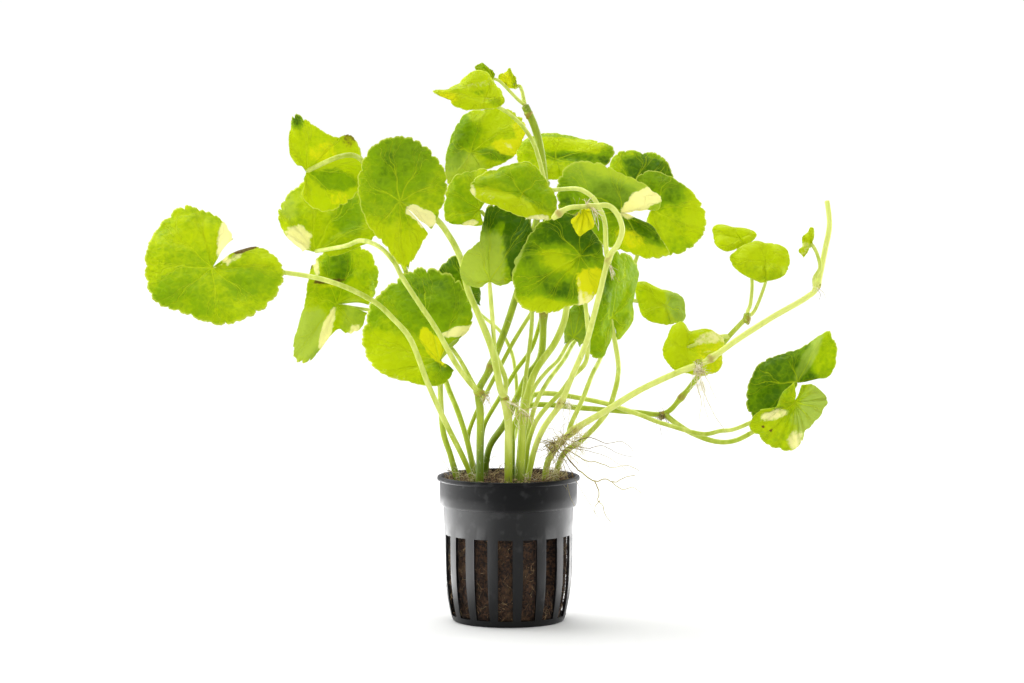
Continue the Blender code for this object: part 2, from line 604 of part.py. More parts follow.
def base_hole_cutter(finish):
    """Oblong drain holes in a ring through the pot's floor."""
    points = []
    faces = []
    long_side, short_side = BASE_HOLE_SIZE
    for hole in range(BASE_HOLES):
        turn = SLOT_START + hole * math.tau / BASE_HOLES
        along = Vector((math.cos(turn), math.sin(turn), 0.0))
        across = Vector((-math.sin(turn), math.cos(turn), 0.0))
        first = len(points)
        for height in (-POT_FLOOR, 2 * POT_FLOOR):
            for u, v in ((-1, -1), (1, -1), (1, 1), (-1, 1)):
                place = along * (BASE_HOLE_PLACE + u * long_side / 2) + across * (v * short_side / 2)
                points.append(place + Vector((0.0, 0.0, height)))
        for face in ((3, 2, 1, 0), (4, 5, 6, 7), (0, 1, 5, 4), (1, 2, 6, 5), (2, 3, 7, 6), (3, 0, 4, 7)):
            faces.append(tuple(first + corner for corner in face))
    return solid("base_hole_cutter", points, faces, finish)


def make_plug(finish, sockets):
    """The plug's turned body with an uneven top, with a socket for each planted stem."""
    angles = [index * math.tau / PLUG_SIDES for index in range(PLUG_SIDES)]
    points = []
    for height, radius in PLUG_PROFILE:
        for angle in angles:
            uneven = PLUG_ROUGHNESS / MM * math.sin(3 * angle + height) * math.sin(5 * angle - height / 3)
            top = 0.5 * uneven if height > 45.0 else 0.0
            points.append(Vector(((radius + uneven) * math.cos(angle),
                                  (radius + uneven) * math.sin(angle), height + top)) * MM)
    points.append(Vector((0.0, 0.0, PLUG_TOP)))
    faces = []
    rows = len(PLUG_PROFILE)
    for row in range(rows - 1):
        for column in range(PLUG_SIDES):
            after = (column + 1) % PLUG_SIDES
            faces.append((row * PLUG_SIDES + column, row * PLUG_SIDES + after,
                          (row + 1) * PLUG_SIDES + after, (row + 1) * PLUG_SIDES + column))
    top_row = (rows - 1) * PLUG_SIDES
    for column in range(PLUG_SIDES):
        faces.append((top_row + column, top_row + (column + 1) % PLUG_SIDES, len(points) - 1))
    faces.append(tuple(reversed(range(PLUG_SIDES))))
    plug = solid("fibre_plug", points, faces, finish)
    for index, (place, radius) in enumerate(sockets):
        cut(plug, socket_cutter(f"socket_cutter_{index}", place, radius + SOCKET_CLEARANCE, finish))
    return plug


def socket_cutter(name, place, radius, finish):
    sides = SOCKET_SIDES
    points = []
    for height in (PLUG_TOP - SOCKET_DEPTH, PLUG_TOP + SOCKET_DEPTH):
        for side in range(sides):
            angle = side * math.tau / sides
            points.append(Vector((place.x + radius * math.cos(angle),
                                  place.y + radius * math.sin(angle), height)))
    faces = [tuple(reversed(range(sides))), tuple(range(sides, 2 * sides))]
    for side in range(sides):
        after = (side + 1) % sides
        faces.append((side, after, sides + after, sides + side))
    return solid(name, points, faces, finish)


def route_points(stem):
    """A stem's own points in space. A planted stem starts upright in the plug."""
    points = []
    if "planted" in stem:
        x, depth = stem["planted"]
        for height in (PLUG_TOP - SOCKET_DEPTH + GAP, PLUG_TOP - 0.4 * SOCKET_DEPTH, PLUG_TOP + GAP):
            points.append(Vector((x * MM, depth * MM, height)))
    points += [sight(*place[:3]) for place in stem["route"]]
    return points


def stem_curve(name, points, width, steps, finish, taper=0.75, swellings=()):
    """A round stem along a smooth curve, thinner at its far end, thicker at its nodes."""
    curve = bpy.data.curves.new(name, "CURVE")
    curve.dimensions = "3D"
    curve.bevel_depth = width / 2 * MM
    curve.bevel_resolution = 1
    curve.use_fill_caps = True
    line = curve.splines.new("POLY")
    line.points.add(steps)
    last = len(points) - 1
    for index in range(steps + 1):
        place = index / steps * last
        spot = through(points, place)
        size = 1.0 - (1.0 - taper) * index / steps
        for node_place, growth in swellings:
            size *= 1.0 + growth * max(0.0, 1.0 - abs(place - node_place))
        line.points[index].co = (*spot, 1.0)
        line.points[index].radius = size
    return add_object(name, curve, finish)


def blade_sheet(leaf, columns, rings):
    """Rows of points from a leaf's heart out to its rim, one row for each ring."""
    heart_x, heart_z, heart_depth = leaf["heart"]
    slope_x, slope_z = leaf["slope"]
    bulge = leaf.get("bulge", 1.5)
    folds = leaf.get("folds", {})

    def spot(dx, dz, extra=0.0):
        depth = heart_depth + slope_x * dx + slope_z * dz + extra
        return sight(heart_x + dx, heart_z + dz, depth)

    heart = spot(0.0, 0.0)
    front = Vector((slope_x, -1.0, slope_z)).normalized()
    rim = [spot(*place) for place in leaf["rim"]]
    shoulders = []
    for index, place in enumerate(rim):
        if index in folds:
            shoulders.append(spot(*folds[index]))
        else:
            shoulders.append(heart.lerp(place, SHOULDER) + front * bulge * MM)
    last = len(rim) - 1
    rows = []
    for reach in rings:
        row = []
        for column in range(columns + 1):
            place = column / columns * last
            shoulder = through(shoulders, place)
            edge = through(rim, place)
            if reach <= SHOULDER:
                row.append(heart.lerp(shoulder, reach / SHOULDER))
            else:
                row.append(shoulder.lerp(edge, (reach - SHOULDER) / (1.0 - SHOULDER)))
        rows.append(row)
    return heart, rows


def blade_solid(name, leaf, finish):
    """A thin closed leaf blade on both sides of its sheet."""
    heart, rows = blade_sheet(leaf, leaf.get("columns", BLADE_COLUMNS), (SHOULDER, 1.0))
    wide = len(rows[0])
    sheet = [heart] + [place for row in rows for place in row]
    faces = []
    for column in range(wide - 1):
        faces.append((0, 1 + column, 2 + column))
        for row in range(len(rows) - 1):
            low = 1 + row * wide + column
            faces.append((low, low + wide, low + wide + 1, low + 1))
    normals = [Vector() for _ in sheet]
    for face in faces:
        corners = [sheet[index] for index in face]
        turn = (corners[1] - corners[0]).cross(corners[2] - corners[0])
        for index in face:
            normals[index] += turn.normalized()
    half = BLADE_THICKNESS / 2
    count = len(sheet)
    points = [place + normal.normalized() * half for place, normal in zip(sheet, normals)]
    points += [place - normal.normalized() * half for place, normal in zip(sheet, normals)]
    border = [0] + [1 + row * wide for row in range(len(rows))]
    border += [1 + (len(rows) - 1) * wide + column for column in range(1, wide)]
    border += [wide + row * wide for row in reversed(range(len(rows) - 1))]
    closed = list(faces)
    closed += [tuple(count + index for index in reversed(face)) for face in faces]
    for index, near in enumerate(border):
        after = border[(index + 1) % len(border)]
        closed.append((after, near, count + near, count + after))
    blade = solid(name, points, closed, finish, 60.0)
    face_outwards(blade.data)
    return blade


def face_outwards(mesh):
    shape = bmesh.new()
    shape.from_mesh(mesh)
    bmesh.ops.triangulate(shape, faces=shape.faces)
    bmesh.ops.recalc_face_normals(shape, faces=shape.faces)
    if shape.calc_volume(signed=True) < 0.0:
        bmesh.ops.reverse_faces(shape, faces=shape.faces)
    shape.to_mesh(mesh)
    shape.free()


def root_lump(name, place, size, finish):
    """A small uneven mass of roots that hangs from a node."""
    shape = bmesh.new()
    bmesh.ops.create_icosphere(shape, subdivisions=1, radius=1.0)
    middle = sight(*place)
    for corner in shape.verts:
        tuft = 1.0 + 0.12 * math.sin(5 * corner.co.x + 3 * corner.co.z)
        corner.co = middle + Vector([part * side * tuft * MM for part, side in zip(corner.co, size)])
    mesh = bpy.data.meshes.new(name)
    shape.to_mesh(mesh)
    shape.free()
    mesh.shade_smooth()
    return add_object(name, mesh, finish)


def stalk_points(stalk, leaf):
    """A stalk's points, with the last one beside the blade's heart, clear of the blade."""
    points = route_points(stalk)
    slope_x, slope_z = leaf["slope"]
    front = Vector((slope_x, -1.0, slope_z)).normalized()
    side = 1.0 if stalk.get("ends_in_front") else -1.0
    clear = BLADE_THICKNESS / 2 + GAP + stalk["width"] / 2 * MM
    heart = sight(*leaf["heart"])
    return points + [heart + front * side * clear]


def grown_points(stalk, leaf):
    """A grown-in stalk's points, with the last one just through the blade's heart."""
    return route_points(stalk) + [sight(*leaf["heart"])]


def mesh_copy(curve_object, finish):
    bpy.context.view_layer.update()
    evaluated = curve_object.evaluated_get(bpy.context.evaluated_depsgraph_get())
    mesh = bpy.data.meshes.new_from_object(evaluated)
    mesh.name = curve_object.name
    bpy.data.objects.remove(curve_object, do_unlink=True)
    shape = bmesh.new()
    shape.from_mesh(mesh)
    bmesh.ops.remove_doubles(shape, verts=shape.verts, dist=0.01 * MM)
    bmesh.ops.recalc_face_normals(shape, faces=shape.faces)
    shape.to_mesh(mesh)
    shape.free()
    mesh.materials.clear()
    return add_object(mesh.name, mesh, finish)


def socket_of(stem):
    x, depth = stem["planted"]
    return Vector((x, depth, 0.0)) * MM, stem["width"] / 2 * MM


def main():
    clear_scene()
    plastic = material("black plastic", BLACK_PLASTIC, 0.4)
    fibre = material("brown fibre", BROWN_FIBRE, 0.95)
    green = material("leaf green", LEAF_GREEN, 0.45)
    stem_green = material("stem green", STEM_GREEN, 0.5)
    tan = material("root tan", ROOT_TAN, 0.8)

    planted = [stem for group in (STEMS, STALKS, GROWN_STALKS) for stem in group.values()
               if "planted" in stem]
    make_pot(plastic)
    make_plug(fibre, [socket_of(stem) for stem in planted])

    for name, stem in STEMS.items():
        stem_curve(name, route_points(stem), stem["width"], stem["steps"], stem_green,
                   stem.get("taper", 0.75), stem["swellings"])
    for name, stalk in STALKS.items():
        points = stalk_points(stalk, LEAVES[stalk["leaf"]])
        stem_curve(name, points, stalk["width"], stalk["steps"], stem_green, 0.85)
    for name, leaf in LEAVES.items():
        blade = blade_solid(name, leaf, green)
        if name in GROWN_STALKS:
            stalk = GROWN_STALKS[name]
            tube = stem_curve("stalk_of_" + name, grown_points(stalk, leaf), stalk["width"],
                              stalk["steps"], stem_green)
            union(blade, mesh_copy(tube, stem_green))
    for name, tangle in ROOTS.items():
        root_lump(name, tangle["place"], tangle["size"], tan)


main()
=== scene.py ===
import math
import random

import bpy
import numpy as np
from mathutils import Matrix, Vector, noise


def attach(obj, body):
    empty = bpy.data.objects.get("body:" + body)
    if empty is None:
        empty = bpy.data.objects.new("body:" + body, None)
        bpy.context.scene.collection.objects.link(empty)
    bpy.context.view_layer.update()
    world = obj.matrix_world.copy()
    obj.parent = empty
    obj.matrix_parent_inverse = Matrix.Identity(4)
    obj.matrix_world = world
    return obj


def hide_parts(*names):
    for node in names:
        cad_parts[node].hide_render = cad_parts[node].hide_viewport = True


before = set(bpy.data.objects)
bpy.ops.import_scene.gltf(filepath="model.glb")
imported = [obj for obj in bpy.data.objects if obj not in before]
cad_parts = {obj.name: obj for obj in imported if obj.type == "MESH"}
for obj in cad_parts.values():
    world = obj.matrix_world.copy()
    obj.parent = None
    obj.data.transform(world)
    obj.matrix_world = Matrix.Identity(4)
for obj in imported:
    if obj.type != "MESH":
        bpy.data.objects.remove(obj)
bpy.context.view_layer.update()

# Brazilian pennywort rooted in a brown fibre plug, in a black net pot.
# The tables are in millimetres, which MM turns into metres. The plant's places are read
# from the front: x to the right and z up on the upright plane through the pot's axis, and
# a depth behind it, on the line of sight from EYE.
MM = 0.001

EYE = Vector((1.3, -1200.0, 183.0)) * MM
CAMERA_TILT = math.radians(3.78)
CAMERA_LENS = 114.3

# Leaf blades. The rim is measured from the heart, where the stalk joins, and runs from one
# side of the cleft to the other. The blade's plane leans back by slope, in depth per x and
# per z, and a third number sets a point behind that plane.
LEAVES = {
    "leaf_far_left": dict(heart=(-109.5, 131, -22), slope=(0.05, 0.6), rim=(
        (9, 5.5), (18.5, 7.5), (25.5, 2), (26.5, -5), (20.5, -14.5), (10, -20.5), (0.5, -21), (-12, -16.5),
        (-21.5, -12.5), (-25, -2.5), (-23.5, 9), (-18.5, 18), (-10, 23), (-2.5, 21), (4, 17.5),
        (8, 11.5, -1))),
    "leaf_left_high": dict(heart=(-74.5, 166.5, -22), slope=(0.45, 0.3), rim=(
        (-1.5, -5.5), (-1.5, -9), (1.5, -13), (7.5, -15), (14, -12.5), (19, -8), (21.5, 0), (20, 8.5),
        (16, 14), (11.5, 12.5), (6, 14.5), (0.5, 18.5), (-4.5, 21.5, -2), (-6.5, 14.5), (-6, 7),
        (-3, 2.5))),
    "leaf_left_back": dict(heart=(-71.5, 137, -3), slope=(0.1, 0.6), rim=(
        (5.5, -1.5), (13.5, 0.5), (21.5, 4.5), (26.5, 13.5), (22.5, 22.5), (13, 27), (2.5, 28), (-7.5, 24),
        (-13, 17), (-13, 11), (-10, 5), (-5, 0))),
    "leaf_left_low": dict(heart=(-63.5, 117.5, 20), slope=(0.2, 0.5), rim=(
        (11, -3.5), (9, -9), (4, -11), (0, -9.5), (-6.5, -17), (-10.5, -21.5), (-15, -21), (-16.5, -15.5),
        (-13.5, -6), (-11.5, 1.5), (-10.5, 9.5), (-9, 15.5), (-4.5, 20), (2, 21.5), (8, 22), (13.5, 17.5),
        (16, 11), (14.5, 4), (11.5, 0))),
    "leaf_left_front": dict(heart=(-40, 155.5, -42), slope=(0.1, 0.35), rim=(
        (7, -7.5, -1), (12, -10, -3), (14.5, -4), (17, 2), (17.5, 9.5), (14.5, 15.5), (9, 21), (3.5, 24),
        (-3.5, 23.5), (-10.5, 20), (-14.5, 14), (-16, 6.5), (-14.5, -2.5), (-11, -10.5), (-6, -16),
        (-2.5, -21), (2, -25.5), (4.5, -22.5), (7.5, -17), (10.5, -12, -2))),
    "leaf_left_wide": dict(heart=(-25.5, 96.5, -10), slope=(-0.1, 0.6), rim=(
        (5.5, -3.5), (2.5, -8), (-3.5, -9.5), (-13.5, -7.5), (-21, -5), (-26.5, 0), (-29, 8), (-27, 15),
        (-25.5, 21.5), (-20.5, 26.5), (-15, 32), (-8.5, 35), (-1, 33.5), (7, 30), (11, 23.5), (12.5, 16),
        (10.5, 11), (4.5, 7.5, -2))),
    "leaf_top": dict(heart=(-8, 193.5, -3), slope=(0.2, 0.8), rim=(
        (2.5, -4), (-1.5, -4), (-7, -4.5), (-11.5, -3), (-15, -0.5), (-20, 2.5), (-14, 5), (-7.5, 8),
        (-2, 9), (2, 8.5), (5, 5), (6, 0))),
    "leaf_top_bud": dict(heart=(2, 197, 13), slope=(0.3, 0.2), rim=(
        (1, 1.5), (0.5, 5), (-1, 7.5), (-4, 6.5), (-6, 3.5), (-3.5, 0.5))),
    "leaf_top_curled": dict(heart=(-5.5, 200.5, 10.5), slope=(0.2, 0.4), rim=(
        (0, 2.5), (-3, 5.5), (-7, 5), (-5, 1.5), (-2, -1))),
    "leaf_upper_middle": dict(heart=(-14, 173.5, 9), slope=(0.1, 0.6), rim=(
        (4, -7), (11, -4.5), (16, -1.5), (19, 4), (20.5, 9), (19, 13.5), (14, 16), (8, 16.5), (4.5, 15.5),
        (-1, 15.5), (-5.5, 10), (-8, 3), (-9, -4), (-8.5, -11.5), (-4, -8.5))),
    "leaf_middle_left": dict(heart=(-10.5, 152.5, -4), slope=(-0.2, 0.3), rim=(
        (1.5, -5.5), (-3.5, -6), (-8.5, -5.5), (-12.5, -4), (-13.5, 2), (-12.5, 7), (-9, 12), (-3.5, 14.5),
        (1.5, 15), (4.5, 9.5), (4, 4.5))),
    "leaf_front_high": dict(heart=(5, 158.5, -36), slope=(-0.1, 0.45), rim=(
        (7, -10, -3), (2, -9.5, -3), (-3.5, -7.5, -3), (-9.5, -5, -3), (-15.5, -3, -2), (-19, 0.5),
        (-18, 4.5), (-14, 8), (-8, 10), (-2.5, 11), (3, 11), (7.5, 8), (10.5, 3.5), (13, -2.5),
        (12.5, -7.5))),
    "leaf_back_high": dict(heart=(17.5, 171, 34), slope=(0, 0.7), rim=(
        (2, -7), (9, -6), (16.5, -4), (19.5, -1.5), (21.5, 2.5), (17.5, 6), (11.5, 8.5), (3.5, 9.5),
        (-4, 9.5), (-9.5, 8), (-14, 5.5), (-14.5, 0.5), (-12, -4), (-5.5, -7))),
    "leaf_right_folded": dict(heart=(42, 151.5, -8), slope=(0, 0), rim=(
        (9, 1.5, -2), (13.5, 2.5, -4), (14, 6, -6), (7, 11, -8), (-0.5, 14.5, -9), (-6.5, 17.5, -10),
        (-12.5, 19, -9), (-19.5, 18, -7), (-23.5, 13, -2), (-24.5, 7.5, 2), (-24, 1.5, 3), (-18, -3, 2),
        (-12, -7, 0), (-7, -12, -3), (-2, -14, -7), (3, -15, -10), (8.5, -17, -11), (14, -17, -12),
        (17.5, -15.5, -10), (15, -11, -8), (12, -6.5, -6), (7.5, -3, -3))),
    "leaf_right_back": dict(heart=(45.5, 159.5, 32), slope=(0, 0.6), rim=(
        (5, -2.5), (11.5, -0.5), (16.5, 2.5), (15, 6), (12, 10.5), (8.5, 13.5), (3, 14.5), (-3.5, 14),
        (-7.5, 11.5), (-9, 7), (-7.5, 2.5), (-3.5, -1))),
    "leaf_right_round": dict(heart=(53, 152.5, 22), slope=(0.1, 0.35), rim=(
        (-2, -3.5), (1, -11.5), (6.5, -17), (13.5, -15), (17, -12), (19.5, -8), (20.5, -2.5), (19, 2),
        (15.5, 6), (10.5, 9.5), (4.5, 13.5), (-1.5, 14.5), (-5.5, 11.5), (-6, 6), (-4, 2))),
    "leaf_front": dict(heart=(26.5, 135.5, -38), slope=(-0.1, 0.3), rim=(
        (7.5, 4.5), (9.5, -1), (9.5, -6), (7.5, -12), (2.5, -18), (-2.5, -18.5), (-7.5, -20.5),
        (-13, -21.5), (-19.5, -20.5), (-23.5, -17), (-25, -10), (-24.5, -2.5), (-21, 4.5), (-16.5, 11),
        (-11, 15), (-4.5, 15.5), (1, 13.5), (4.5, 9.5))),
    "leaf_middle_folded": dict(heart=(-7, 126, -32), slope=(0, 0), rim=(
        (-4, -2.5, -1), (-8.5, -2, -3), (-11, 3.5, -4), (-9.3, 10, -3), (-4, 15, 1), (-3, 19, 4),
        (-2, 24, 8), (-0.5, 28, 10), (4, 29, 11), (11.5, 27.5, 9), (15.5, 22.5, 4), (17, 14, 1),
        (15.5, 6, -1), (10, 0, -1), (4, -2))),
    "leaf_right_hanging": dict(heart=(38, 112.5, 8), slope=(1.2, 0.1), rim=(
        (2, -10.5), (4.5, -5), (7.5, 0.5), (9, 5), (10, 11), (10, 18), (7.5, 22.5), (2, 25), (-1.5, 17),
        (-4, 9), (-6.5, 0), (-8, -8), (-7.5, -14), (-4, -15), (-1.5, -12))),
    "leaf_right_middle": dict(heart=(58, 117, 34), slope=(0, 0.6), rim=(
        (2, -7), (7.5, -5.5), (7.5, -1), (6, 3), (1.5, 6), (-5, 8), (-10.5, 8), (-11, 3), (-9.5, -2.5),
        (-6.5, -5.5), (-1.5, -7))),
    "leaf_right_pale": dict(heart=(66, 101.5, -10), slope=(0.1, 0.5), rim=(
        (2, 6.5), (7, 7), (11, 5.5), (14, 3), (14, -3), (12.5, -8), (7.5, -10.5), (1, -10), (-4.5, -8.5),
        (-8, -5), (-9, -1), (-8, 3), (-5, 9), (-1, 9.5))),
    "leaf_pair_left": dict(heart=(85.5, 141.5, -6), slope=(-0.2, 0.8), rim=(
        (-0.5, -3), (-5, -4.5), (-9, -2), (-10.5, 2), (-9, 4), (-4, 5), (1.5, 4.5), (6, 1.5), (3.5, -1.5))),
    "leaf_pair_right": dict(heart=(94.5, 133, -14), slope=(0.1, 0.6), rim=(
        (0.5, -7), (5.5, -6), (9, -3), (9.5, 0.5), (7.5, 4.5), (2.5, 7.5), (-3, 8.5), (-8.5, 5.5),
        (-13, 1.5), (-9.5, -3.5), (-4, -6.5))),
    "leaf_far_right_bud": dict(heart=(111, 138.5, -15), slope=(0.3, 0.2), rim=(
        (1, 2.5), (0.5, 7), (-2, 3), (-3.5, -1.5), (-2, -3.5))),
    "leaf_low_right_back": dict(heart=(107, 88.5, 4), slope=(0, 0.2), rim=(
        (6, 0.5, -2), (11, 2, -6), (14, 6, -8), (14.5, 13, -8), (11.5, 19.5, -6), (6.5, 16, -1),
        (1.5, 12.5, 3), (-3.5, 11.5, 2), (-10, 10, 0), (-15, 6, -1), (-18.5, -2, -2), (-19, -8.5, -2),
        (-17, -13, -2), (-11, -13, -1), (-4, -9.5))),
    "leaf_low_right_front": dict(heart=(106, 81.5, -13), slope=(0.1, -0.2), rim=(
        (2.5, 6.5), (7, 6.5), (11, 2.5), (11.5, -1), (8, -8), (4.5, -12), (2, -16.5), (-2.5, -18.5),
        (-7.5, -18), (-12.5, -14.5), (-17, -9), (-13.5, -4.5), (-7, -2.5))),
    "leaf_yellow": dict(heart=(27.9, 152.8, -51), slope=(0.1, 0), rim=(
        (1.2, -0.3), (3, -2.5), (3, -6.5), (1.2, -8), (-1.2, -10.2), (-2.8, -9), (-4.7, -6), (-3.7, -3.5),
        (-2, -1))),
    "leaf_left_hidden": dict(heart=(-15.5, 119, 26), slope=(0, 0.3), rim=(
        (5, -2), (5, 4), (3, 10.5), (-1.5, 15.5), (-7, 15.5), (-10, 11), (-9, 4), (-5.5, -2))),
    "leaf_right_small": dict(heart=(24, 105, 15), slope=(0.1, 0.3), rim=(
        (3, -3.5), (6, 1), (6, 8), (3, 13), (-1.5, 11), (-4, 5), (-3.5, -2))),
}

